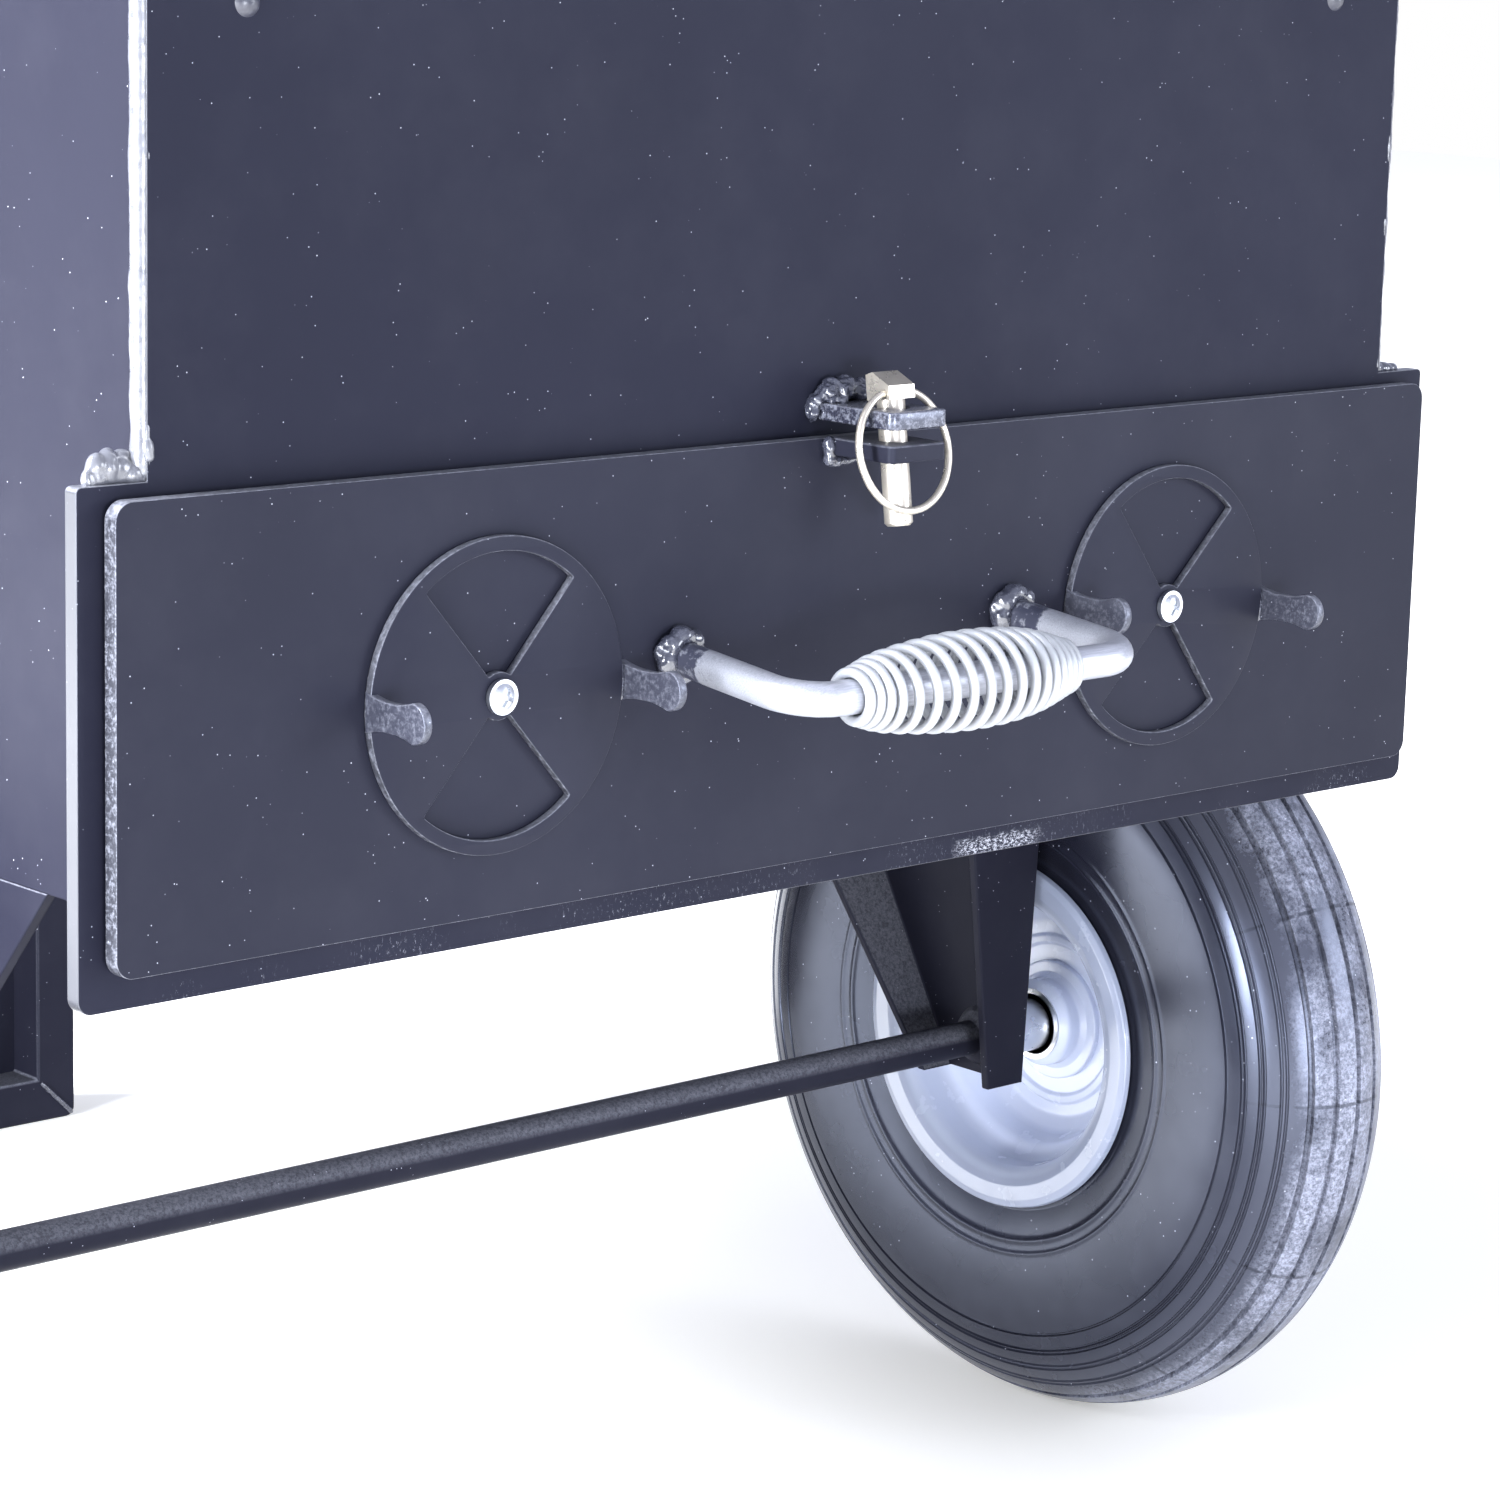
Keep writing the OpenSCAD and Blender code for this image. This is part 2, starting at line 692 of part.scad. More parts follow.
// One groove in the tread, w off the middle.
module tread_groove(w) {
  r = 97 + (tyre_r - 97) * pow(1 - pow(abs(w) / tyre_half, 2.1), 0.476);
  translate([r, w]) rotate(45) square(2.2, center = true);
}

module tyre() {
  color("#3d3f45") tyre_body();
}

// Inner tube inside the tyre.
module tube() {
  color("#1f1f22") difference() {
    spin_x() translate([97, 0]) circle(r = 26.2, $fn = 72);
    spin_x() translate([97, 0]) circle(r = 24.2, $fn = 72);
    valve_stem(2.64, 38);
  }
}

// Pressed rim half: m = 0 faces +X and carries the valve hole, m = 1 faces -X.
module rim_half(m) {
  tyre_side = [[15.4, 0.1], [36, 0.1], [42, 4], [44.5, 13], [49.8, 16], [50.4, 29]];
  flange = [[55, rim_half - 2.6], [58, rim_half - 1.9], [61, rim_half - 3.4], [rim_r, rim_half - 2.4],
    [rim_r - 0.6, rim_half - 0.6], [59, rim_half], [54, rim_half - 0.6]];
  outer_side = [[48, 29.5], [47.4, 17.6], [42.4, 14.6], [39.8, 5.4], [34.8, 2.1], [15.4, 2.1]];
  color("#aeb8cc") rotate([0, 180 * m, 0]) difference() {
    spin_x() polygon(concat(tyre_side, flange, outer_side));
    if (m == 0) valve_stem(2.65, 44);
  }
}

module hub() {
  color("#aeb8cc") difference() {
    union() {
      rod_x(0, 0, 15.3, -14, 30.6);
      rod_x(0, 0, 21, -4.4, -2.2);
      rod_x(0, 0, 21, 2.2, 4.4);
    }
    rod_x(0, 0, 12.5, -15, -6);
    rod_x(0, 0, 12.5, 22.6, 32);
    rod_x(0, 0, 8, -20, 40);
  }
}

module bearings() {
  color("#c9ccd1") {
    bearing(-14);
    bearing(22.7);
  }
}

module bearing(x) {
  difference() {
    rod_x(0, 0, 12.45, x, x + 7.9);
    rod_x(0, 0, axle_r + 0.08, x - 1, x + 9);
  }
}

// Stem line from the tube's inner edge out through the rim's step.
module valve_stem(r, len) {
  rotate([200, 0, 0]) translate([0, 0, 72.6]) rotate([0, 145.5, 0]) cylinder(r = r, h = len, $fn = 48);
}

module valve() {
  color("#1f1f22") {
    valve_stem(2.6, 43);
    difference() {
      valve_stem(3.1, 43.5);
      valve_stem(4, 34.5);
    }
  }
}

// Stands a wheel part on its place; the left one is the right one turned about.
module at_wheel(s) {
  translate([wheel_at(s), axle_y, axle_z]) rotate([0, 0, s < 0 ? 180 : 0]) children();
}

end_panel();
side_sheet(-1);  // side_left
side_sheet(1);  // side_right
far_panel();
box_floor();
corner_welds();
rail(end_t, 1);  // rail_front
rail(box_l - side_t, -1);  // rail_far
rail_bolts();
rail_nuts();
runner(-1);  // runner_left
runner(1);  // runner_right
upper_lug();
bracket_right();
bracket_left();
axle();
axle_welds();
axle_spacers();
axle_washers();
cotter_pins();
leg_frame();
leg_panel();
drawer_front();
drawer_tray();
grate_ledges();
charcoal_grate();
handle_bar();
handle_welds();
spring_grip();
lower_lug();
stop_tabs();
pivot_screws();
pivot_washers();
pivot_nuts();
damper_left();
damper_right();
latch_pin();
pin_ring();
at_wheel(-1) tyre();  // tyre_left
at_wheel(-1) tube();  // tube_left
at_wheel(-1) rim_half(1);  // rim_inner_left
at_wheel(-1) rim_half(0);  // rim_outer_left
at_wheel(-1) hub();  // hub_left
at_wheel(-1) bearings();  // bearings_left
at_wheel(-1) valve();  // valve_left
at_wheel(1) tyre();  // tyre_right
at_wheel(1) tube();  // tube_right
at_wheel(1) rim_half(1);  // rim_inner_right
at_wheel(1) rim_half(0);  // rim_outer_right
at_wheel(1) hub();  // hub_right
at_wheel(1) bearings();  // bearings_right
at_wheel(1) valve();  // valve_right
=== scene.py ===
import json
import math

import bmesh
import bpy
from mathutils import Matrix, Vector, noise


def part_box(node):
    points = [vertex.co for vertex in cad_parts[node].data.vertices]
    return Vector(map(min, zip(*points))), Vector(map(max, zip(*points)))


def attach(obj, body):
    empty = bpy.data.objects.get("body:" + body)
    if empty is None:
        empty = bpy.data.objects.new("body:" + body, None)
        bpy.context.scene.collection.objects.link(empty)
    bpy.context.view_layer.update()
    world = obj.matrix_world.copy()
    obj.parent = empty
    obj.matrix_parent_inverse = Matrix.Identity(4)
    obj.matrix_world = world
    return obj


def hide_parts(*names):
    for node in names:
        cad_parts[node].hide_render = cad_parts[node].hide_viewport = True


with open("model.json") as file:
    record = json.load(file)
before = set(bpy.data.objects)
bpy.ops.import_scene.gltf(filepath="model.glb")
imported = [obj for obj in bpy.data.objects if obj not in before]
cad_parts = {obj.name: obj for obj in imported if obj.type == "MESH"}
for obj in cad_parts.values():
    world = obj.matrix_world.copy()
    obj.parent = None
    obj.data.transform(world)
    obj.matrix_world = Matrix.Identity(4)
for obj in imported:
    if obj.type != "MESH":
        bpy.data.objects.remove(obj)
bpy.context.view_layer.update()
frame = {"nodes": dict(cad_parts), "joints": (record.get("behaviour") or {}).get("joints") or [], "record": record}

nodes = frame["nodes"]
scene = bpy.context.scene
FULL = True

# ------------------------------------------------------------------ camera

YAW, PITCH, ROLL = math.radians(42.4364), math.radians(11.2897), math.radians(-1.4751)
FOCAL_WIDTHS = 2.970387          # focal length as a share of the picture's width
SHIFT_X, SHIFT_Y = -0.000567, -0.002693
EYE = (-0.8376, -0.8837, 0.5323)


def make_camera():
    fwd = Vector((math.sin(YAW) * math.cos(PITCH), math.cos(YAW) * math.cos(PITCH), -math.sin(PITCH)))
    right0 = Vector((math.cos(YAW), -math.sin(YAW), 0))
    down0 = fwd.cross(right0)
    right = right0 * math.cos(ROLL) + down0 * math.sin(ROLL)
    down = down0 * math.cos(ROLL) - right0 * math.sin(ROLL)
    cam = bpy.data.cameras.new("camera")
    cam.sensor_width = 36.0
    cam.lens = cam.sensor_width * FOCAL_WIDTHS
    cam.clip_start = 0.05
    cam.clip_end = 30
    cam.shift_x = SHIFT_X
    cam.shift_y = SHIFT_Y
    obj = bpy.data.objects.new("camera", cam)
    scene.collection.objects.link(obj)
    m = Matrix((right, -down, -fwd)).transposed().to_4x4()
    m.translation = Vector(EYE)
    obj.matrix_world = m
    scene.camera = obj


make_camera()

# ------------------------------------------------------------------ light


def area(name, place, aim, size, power, tint=(1, 1, 1)):
    light = bpy.data.lights.new(name, "AREA")
    light.shape = "RECTANGLE"
    light.size, light.size_y = size
    light.energy = power
    light.color = tint
    obj = bpy.data.objects.new(name, light)
    scene.collection.objects.link(obj)
    obj.location = place
    obj.rotation_euler = (Vector(aim) - Vector(place)).to_track_quat("-Z", "Y").to_euler()
    return obj


world = bpy.data.worlds.new("studio")
scene.world = world
world.use_nodes = True
bg = world.node_tree.nodes["Background"]
ray = world.node_tree.nodes.new("ShaderNodeLightPath")
tint = world.node_tree.nodes.new("ShaderNodeMix")
tint.data_type = "RGBA"
tint.inputs[6].default_value = (0.62, 0.66, 0.84, 1)
tint.inputs[7].default_value = (1, 1, 1, 1)
world.node_tree.links.new(ray.outputs["Is Camera Ray"], tint.inputs[0])
world.node_tree.links.new(tint.outputs[2], bg.inputs[0])
scene.view_settings.view_transform = "Standard"

area("key_left", (-2.1, 1.1, 2.1), (-0.1, 0.25, 0.5), (2.0, 1.6), 620, (0.9, 0.93, 1.0))
area("edge_left", (-2.4, -0.1, 0.75), (0, 0.0, 0.33), (0.3, 1.5), 110, (0.88, 0.92, 1.0))
area("low_left", (-1.9, -0.4, 0.22), (0.25, 0.15, 0.15), (0.7, 0.4), 15, (0.82, 0.88, 1.0))
area("soft_front", (-0.6, -3.0, 1.6), (0, 0, 0.3), (2.4, 1.6), 8, (0.85, 0.9, 1.0))
area("low_front", (-0.85, -2.2, 0.2), (0.25, 0.12, 0.15), (0.6, 0.3), 40, (0.85, 0.9, 1.0))
area("rim_right", (1.9, -2.2, 0.9), (0.28, 0.1, 0.15), (1.2, 1.4), 60, (0.85, 0.9, 1.0))

# ------------------------------------------------------------------ shader helpers

joints = {j["name"]: j for j in frame["joints"]}
WHEEL_MID = Vector(joints["wheel_right_spin"]["pos_m"])

class Mat:
    """A node material built from short calls."""

    def __init__(self, name, color, rough=0.5, metal=0.0, coat=0.0, coat_rough=0.2, spec=0.5):
        self.mat = bpy.data.materials.new(name)
        self.mat.use_nodes = True
        self.tree = self.mat.node_tree
        self.bsdf = self.tree.nodes["Principled BSDF"]
        self.bsdf.inputs["Base Color"].default_value = (*color, 1)
        self.bsdf.inputs["Roughness"].default_value = rough
        self.bsdf.inputs["Metallic"].default_value = metal
        self.bsdf.inputs["Coat Weight"].default_value = coat
        self.bsdf.inputs["Coat Roughness"].default_value = coat_rough
        self.bsdf.inputs["Specular IOR Level"].default_value = spec
        self.coord = self.tree.nodes.new("ShaderNodeTexCoord").outputs["Object"]
        self.bump_height = None

    def add(self, kind, **values):
        n = self.tree.nodes.new(kind)
        for k, v in values.items():
            if hasattr(n, k) and not k[0].isupper():
                setattr(n, k, v)
            else:
                n.inputs[k.replace("_", " ")].default_value = v
        return n

    def link(self, a, b):
        self.tree.links.new(a, b)

    def mapping(self, scale=(1, 1, 1), src=None):
        n = self.tree.nodes.new("ShaderNodeMapping")
        n.inputs["Scale"].default_value = scale
        self.link(src or self.coord, n.inputs["Vector"])
        return n.outputs[0]

    def noise(self, scale, detail=3, rough=0.55, vector=None):
        n = self.add("ShaderNodeTexNoise", Scale=scale, Detail=detail, Roughness=rough)
        self.link(vector or self.coord, n.inputs["Vector"])
        return n.outputs["Fac"]

    def voronoi(self, scale, feature="F1", vector=None, randomness=1.0):
        n = self.add("ShaderNodeTexVoronoi", feature=feature, Scale=scale, Randomness=randomness)
        self.link(vector or self.coord, n.inputs["Vector"])
        return n.outputs["Distance"]

    def ramp(self, fac, lo, hi, a=0.0, b=1.0):
        n = self.add("ShaderNodeMapRange")
        n.inputs["From Min"].default_value = lo
        n.inputs["From Max"].default_value = hi
        n.inputs["To Min"].default_value = a
        n.inputs["To Max"].default_value = b
        self.link(fac, n.inputs["Value"])
        return n.outputs[0]

    def math(self, op, a, b=None):
        n = self.add("ShaderNodeMath", operation=op)
        for i, v in enumerate((a, b)):
            if v is None:
                continue
            if isinstance(v, (int, float)):
                n.inputs[i].default_value = v
            else:
                self.link(v, n.inputs[i])
        return n.outputs[0]

    def mix(self, fac, a, b):
        n = self.add("ShaderNodeMix", data_type="RGBA")
        for sock, v in ((n.inputs[0], fac), (n.inputs[6], a), (n.inputs[7], b)):
            if isinstance(v, (int, float)):
                sock.default_value = v
            elif isinstance(v, tuple):
                sock.default_value = (*v, 1)
            else:
                self.link(v, sock)
        return n.outputs[2]

    def color(self, src):
        self.link(src, self.bsdf.inputs["Base Color"])

    def rough(self, src):
        self.link(src, self.bsdf.inputs["Roughness"])

    def metal(self, src):
        self.link(src, self.bsdf.inputs["Metallic"])

    def bump(self, height, strength=0.3, distance=0.0005):
        n = self.add("ShaderNodeBump", Strength=strength, Distance=distance)
        self.link(height, n.inputs["Height"])
        if self.bump_height is not None:
            self.link(self.bump_height, n.inputs["Normal"])
        self.bump_height = n.outputs[0]
        self.link(n.outputs[0], self.bsdf.inputs["Normal"])


def powder(name, color, rough=0.42, dust=0.62, peel=0.2, spec=0.14, wear=0.0, settled=0.19, scuff=False):
    """Satin powder coat: fine peel, faint dust film, sparse white specks, dust settled on upper faces."""
    m = Mat(name, color, rough, spec=spec)
    m.bsdf.inputs["Specular Tint"].default_value = (0.8, 0.85, 1.0, 1)
    broad = m.noise(6, 3)
    darker, lighter = tuple(c * 0.9 for c in color), tuple(c * 1.1 for c in color)
    base = m.mix(m.ramp(broad, 0.3, 0.7), darker, lighter)
    specks = m.ramp(m.voronoi(400), 0.085, 0.05)
    some = m.ramp(m.noise(120, 2), 0.53, 0.57)
    film = m.ramp(m.noise(14, 5, 0.7), 0.45, 0.85)
    base = m.mix(m.math("MULTIPLY", film, 0.012), base, (0.5, 0.5, 0.56))
    base = m.mix(m.math("MULTIPLY", m.math("MULTIPLY", specks, some), dust), base, (0.6, 0.62, 0.7))
    if wear:
        worn = m.ramp(m.noise(700, 4, 0.8), 0.48, 0.64)
        base = m.mix(m.math("MULTIPLY", worn, wear), base, (0.3, 0.31, 0.36))
    geo = m.add("ShaderNodeNewGeometry")
    up_z = m.add("ShaderNodeSeparateXYZ")
    m.link(geo.outputs["Normal"], up_z.inputs[0])
    grain = m.ramp(m.noise(800, 4, 0.8), 0.38, 0.6, 0.35, 1.0)
    top = m.math("MULTIPLY", m.ramp(up_z.outputs[2], 0.12, 0.5), grain)
    base = m.mix(m.math("MULTIPLY", top, settled), base, (0.5, 0.51, 0.58))
    if scuff:
        at = m.add("ShaderNodeSeparateXYZ")
        m.link(m.coord, at.inputs[0])
        dx = m.math("ABSOLUTE", m.math("SUBTRACT", at.outputs[0], 0.068))
        dz = m.math("ABSOLUTE", m.math("SUBTRACT", at.outputs[2], 0.2532))
        marks = m.ramp(m.noise(900, 4, 0.85, m.mapping((0.8, 1, 1.6))), 0.5, 0.56)
        ragged = m.math("ADD", dz, m.ramp(m.noise(300, 3), 0.3, 0.7, -0.001, 0.001))
        inside = m.math("MULTIPLY", m.ramp(dx, 0.019, 0.012), m.ramp(ragged, 0.0032, 0.0014))
        marks = m.math("MULTIPLY", marks, inside)
        base = m.mix(m.math("MULTIPLY", marks, 0.55), base, (0.6, 0.61, 0.68))
        fine_marks = m.ramp(m.noise(800, 4, 0.85, m.mapping((1.3, 1, 0.6))), 0.585, 0.63)
        band = m.math("MULTIPLY", m.ramp(at.outputs[2], 0.2615, 0.2525), m.ramp(m.noise(25, 3), 0.45, 0.6))
        base = m.mix(m.math("MULTIPLY", m.math("MULTIPLY", fine_marks, band), 0.4), base, (0.5, 0.51, 0.58))
    m.color(base)
    m.rough(m.ramp(m.noise(30, 4), 0.2, 0.8, rough - 0.04, rough + 0.06))
    m.bump(m.noise(900, 2), peel, 0.00004)
    m.bump(m.noise(160, 3), 0.1, 0.0002)
    return m.mat


def plain_metal(name, color, rough, scratch=0.1, metal=1.0, spec=0.5, coat=0.0):
    m = Mat(name, color, rough, metal, spec=spec, coat=coat)
    n = m.noise(60, 4)
    m.color(m.mix(m.ramp(n, 0.3, 0.7), tuple(c * 0.85 for c in color), color))
    m.rough(m.ramp(m.noise(250, 3), 0.25, 0.75, max(0.04, rough - 0.07), rough + 0.1))
    m.bump(m.noise(700, 3), scratch, 0.00005)
    return m.mat


def weld_black(name, color, rough, chalk):
    """Painted weld metal: glossy and uneven, with a few bright rubbed crests."""
    m = Mat(name, color, rough, 0.0, spec=0.9, coat=0.6, coat_rough=0.15)
    crest = m.ramp(m.noise(420, 4, 0.7), 0.52, 0.68)
    m.color(m.mix(m.math("MULTIPLY", crest, chalk), color, (0.42, 0.43, 0.5)))
    m.rough(m.ramp(m.noise(300, 3), 0.3, 0.7, rough - 0.1, rough + 0.15))
    m.bump(m.noise(500, 3, 0.6), 0.12, 0.0001)
    return m.mat


def handle_steel(name):
    """Bare brushed bar whose two roots carry the black paint, with a ragged edge."""
    m = Mat(name, (0.62, 0.64, 0.72), 0.3, 1.0)
    sep = m.add("ShaderNodeSeparateXYZ")
    m.link(m.coord, sep.inputs[0])
    edge = m.ramp(m.noise(260, 4, 0.7), 0.2, 0.8, -0.0022, 0.0022)
    y = m.math("ADD", sep.outputs[1], edge)
    right_side = m.math("GREATER_THAN", sep.outputs[0], 0.0)
    y = m.math("ADD", y, m.math("MULTIPLY", right_side, 0.0039))
    painted = m.ramp(y, -0.0196, -0.0184)
    chips = m.ramp(m.noise(330, 4, 0.75), 0.53, 0.6)
    near = m.ramp(sep.outputs[1], -0.030, -0.016)
    solid = m.math("MULTIPLY", painted, m.math("SUBTRACT", 1.0, m.math("MULTIPLY", chips, 0.35)))
    flecks = m.math("MULTIPLY", m.math("MULTIPLY", chips, near), 0.5)
    painted = m.math("MAXIMUM", solid, flecks)
    stretch = m.noise(40, 5, 0.75, m.mapping((3, 60, 60)))
    bare = m.mix(m.ramp(stretch, 0.3, 0.7), (0.3, 0.31, 0.35), (0.52, 0.53, 0.58))
    m.color(m.mix(painted, bare, (0.03, 0.032, 0.05)))
    m.metal(m.math("MULTIPLY", m.math("SUBTRACT", 1.0, painted), 0.6))
    m.rough(m.ramp(stretch, 0.25, 0.75, 0.3, 0.46))
    m.bump(stretch, 0.12, 0.0001)
    return m.mat


def wheel_radius(m):
    """Distance from the wheels' axle, with the two offsets it comes from."""
    mid = m.add("ShaderNodeMapping")
    m.link(m.coord, mid.inputs[0])
    mid.inputs["Location"].default_value = (0, -WHEEL_MID.y, -WHEEL_MID.z)
    sep = m.add("ShaderNodeSeparateXYZ")
    m.link(mid.outputs[0], sep.inputs[0])
    y, z = sep.outputs[1], sep.outputs[2]
    return m.math("SQRT", m.math("ADD", m.math("MULTIPLY", y, y), m.math("MULTIPLY", z, z))), y, z


def rubber(name):
    """Tyre rubber: glossy side wall, dusty tread crown lightened further as painted sheen, painted shade near the
    bead, marks across the tread and fine specks.
    """
    m = Mat(name, (0.04, 0.042, 0.055), 0.26, spec=0.62)
    m.bsdf.inputs["Specular Tint"].default_value = (0.68, 0.76, 1.0, 1)
    r, y, z = wheel_radius(m)
    turn = m.math("MULTIPLY", m.math("ARCTAN2", z, y), 13 / (2 * math.pi))
    saw = m.math("ABSOLUTE", m.math("SUBTRACT", m.math("FRACT", turn), 0.5))
    broken = m.ramp(m.noise(160, 2), 0.42, 0.5)
    tick = m.math("MULTIPLY", m.ramp(saw, 0.012, 0.006), broken)
    tread = m.ramp(r, 0.1255, 0.131)
    shoulder = m.ramp(r, 0.108, 0.124)
    patchy = m.ramp(m.noise(26, 6, 0.75), 0.36, 0.6)
    grain = m.ramp(m.noise(700, 4, 0.8), 0.4, 0.62)
    coarse = m.math("ADD", 0.25, m.math("MULTIPLY", grain, 0.75))
    dust = m.math("MULTIPLY", m.math("MULTIPLY", tread, patchy), coarse)
    haze = m.math("MULTIPLY", m.ramp(m.noise(9, 4, 0.7), 0.4, 0.75), 0.05)
    worn = m.math("MULTIPLY", shoulder, 0.07)
    # The tread crown's dust is mixed far lighter than dust alone: partly real dust, partly painted sheen; the
    # shoulder is also made a little lighter.
    dust_and_sheen = m.math("MAXIMUM", m.math("MAXIMUM", m.math("MULTIPLY", dust, 0.62), worn), haze)
    c = m.mix(dust_and_sheen, (0.010, 0.0105, 0.018), (0.46, 0.48, 0.58))
    # Painted shade: a dark ring on the side wall next to the bead and the rim.
    bead_painted_shade = m.ramp(r, 0.074, 0.066)
    c = m.mix(m.math("MULTIPLY", bead_painted_shade, 0.6), c, (0.008, 0.008, 0.012))
    c = m.mix(m.math("MULTIPLY", m.math("MULTIPLY", tick, shoulder), 0.7), c, (0.01, 0.01, 0.014))
    specks = m.math("MULTIPLY", m.ramp(m.voronoi(300), 0.09, 0.05), m.ramp(m.noise(60, 2), 0.5, 0.56))
    c = m.mix(m.math("MULTIPLY", specks, 0.6), c, (0.7, 0.72, 0.8))
    m.color(c)
    m.rough(m.math("ADD", m.ramp(m.noise(40, 4), 0.2, 0.8, 0.2, 0.3), m.math("MULTIPLY", dust, 0.3)))
    m.bump(m.noise(600, 3), 0.12, 0.00006)
    m.bump(m.math("MULTIPLY", tick, shoulder), -0.6, 0.0006)
    m.bump(m.noise(14, 2), 0.3, 0.003)
    return m.mat


def rim_paint(name):
    m = Mat(name, (0.36, 0.40, 0.52), 0.24, spec=0.6, coat=0.5, coat_rough=0.1)
    n = m.noise(18, 4)
    c = m.mix(m.ramp(n, 0.3, 0.7), (0.26, 0.29, 0.38), (0.3, 0.33, 0.42))
    grime = m.ramp(m.noise(55, 5, 0.75), 0.56, 0.8)
    r, _, _ = wheel_radius(m)
    # painted light: within 44-52 mm of the axle the paint turns much lighter, standing in for light on the
    # shadowed disc and hub
    c = m.mix(m.ramp(r, 0.052, 0.044), c, (0.62, 0.67, 0.82))
    m.color(m.mix(m.math("MULTIPLY", grime, 0.08), c, (0.2, 0.21, 0.25)))
    m.rough(m.ramp(m.noise(90, 4), 0.25, 0.75, 0.2, 0.3))
    m.bump(m.noise(220, 2), 0.04, 0.0002)
    return m.mat


MATS = {
    "black_powder": powder("black_powder", (0.0122, 0.0124, 0.0205), 0.46, spec=0.065),
    "drawer_black": powder("drawer_black", (0.0135, 0.014, 0.0225), 0.42, spec=0.08),
    "panel_face": powder("panel_face", (0.0112, 0.0117, 0.0205), 0.46, spec=0.065, scuff=True),
    # The two edge paints below are lighter copies of the black powder for rounded edges and cut sides: painted
    # highlight where the edges catch the light; the first also carries real wear.
    "edge_wear_and_painted_highlight": powder("edge_wear_and_painted_highlight", (0.022, 0.0225, 0.028), 0.34, 0.5, 0.35, 0.6, 0.34),
    "panel_edge_painted_highlight": powder("panel_edge_painted_highlight", (0.037, 0.037, 0.041), 0.3, 0.2, 0.15, 0.6),
    "tab_black": powder("tab_black", (0.026, 0.027, 0.038), 0.3, 0.5, 0.3, 0.7, 0.22),
    "lug_black": powder("lug_black", (0.018, 0.019, 0.03), 0.25, 0.7, 0.25, 0.8, 0.45),
    "weld_black": weld_black("weld_black", (0.035, 0.037, 0.052), 0.18, 0.12),
    # A lighter copy of the weld paint: painted highlight on both corner beads, the drop and the left ear weld.
    "weld_painted_highlight": weld_black("weld_painted_highlight", (0.085, 0.087, 0.1), 0.32, 0.1),
    "weld_bead": plain_metal("weld_bead", (0.3, 0.3, 0.33), 0.35, 0.3),
    "raw_sheet": plain_metal("raw_sheet", (0.33, 0.33, 0.35), 0.5),
    "bare_rod": plain_metal("bare_rod", (0.75, 0.76, 0.8), 0.3),
    "handle_rod": handle_steel("handle_rod"),
    "bright_wire": plain_metal("bright_wire", (0.34, 0.35, 0.37), 0.38, 0.2, 0.25, 0.5),
    "zinc_hardware": plain_metal("zinc_hardware", (0.72, 0.74, 0.78), 0.3),
    "dark_bolt": plain_metal("dark_bolt", (0.03, 0.031, 0.045), 0.34, 0.15, 0.0, 0.6),
    "latch_zinc": plain_metal("latch_zinc", (0.6, 0.55, 0.47), 0.3, 0.2, 0.75),
    "rim_paint": rim_paint("rim_paint"),
    "tyre_rubber": rubber("tyre_rubber"),
    "hub_paint": rim_paint("hub_paint"),
    "tube_rubber": plain_metal("tube_rubber", (0.03, 0.03, 0.032), 0.6, 0.1, 0.0),
}

node_slot = {s["node"]: s["material_slot"] for s in frame["record"]["subparts"]}
for name, obj in nodes.items():
    obj.data.materials.clear()
    obj.data.materials.append(MATS[node_slot[name]])

# ------------------------------------------------------------------ geometry helpers

body_of = {n: b for b, ns in frame["record"]["behaviour"]["bodies"].items() for n in ns}
MM = 0.001


def piece(name, mesh, mat, body, replaces=(), place=None, smooth=None):
    """Links a mesh as a piece that rides on a body. smooth is the angle below which edges shade smooth."""
    obj = bpy.data.objects.new(name, mesh)
    scene.collection.objects.link(obj)
    if place is not None:
        mesh.transform(place)
    if mat is not None:
        mesh.materials.clear()
        mesh.materials.append(mat)
    if smooth is not None:
        for p in mesh.polygons:
            p.use_smooth = True
        mesh.set_sharp_from_angle(angle=math.radians(smooth))
    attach(obj, body)
    if replaces:
        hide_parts(*replaces)
    return obj


def from_bm(name, bm):
    bmesh.ops.recalc_face_normals(bm, faces=bm.faces)
    me = bpy.data.meshes.new(name)
    bm.to_mesh(me)
    bm.free()
    return me


def evaluated(obj, name):
    """The object's evaluated mesh as a new mesh; the object itself is removed."""
    bpy.context.view_layer.update()
    dg = bpy.context.evaluated_depsgraph_get()
    me = bpy.data.meshes.new_from_object(obj.evaluated_get(dg), depsgraph=dg)
    me.name = name
    bpy.data.objects.remove(obj)
    return me


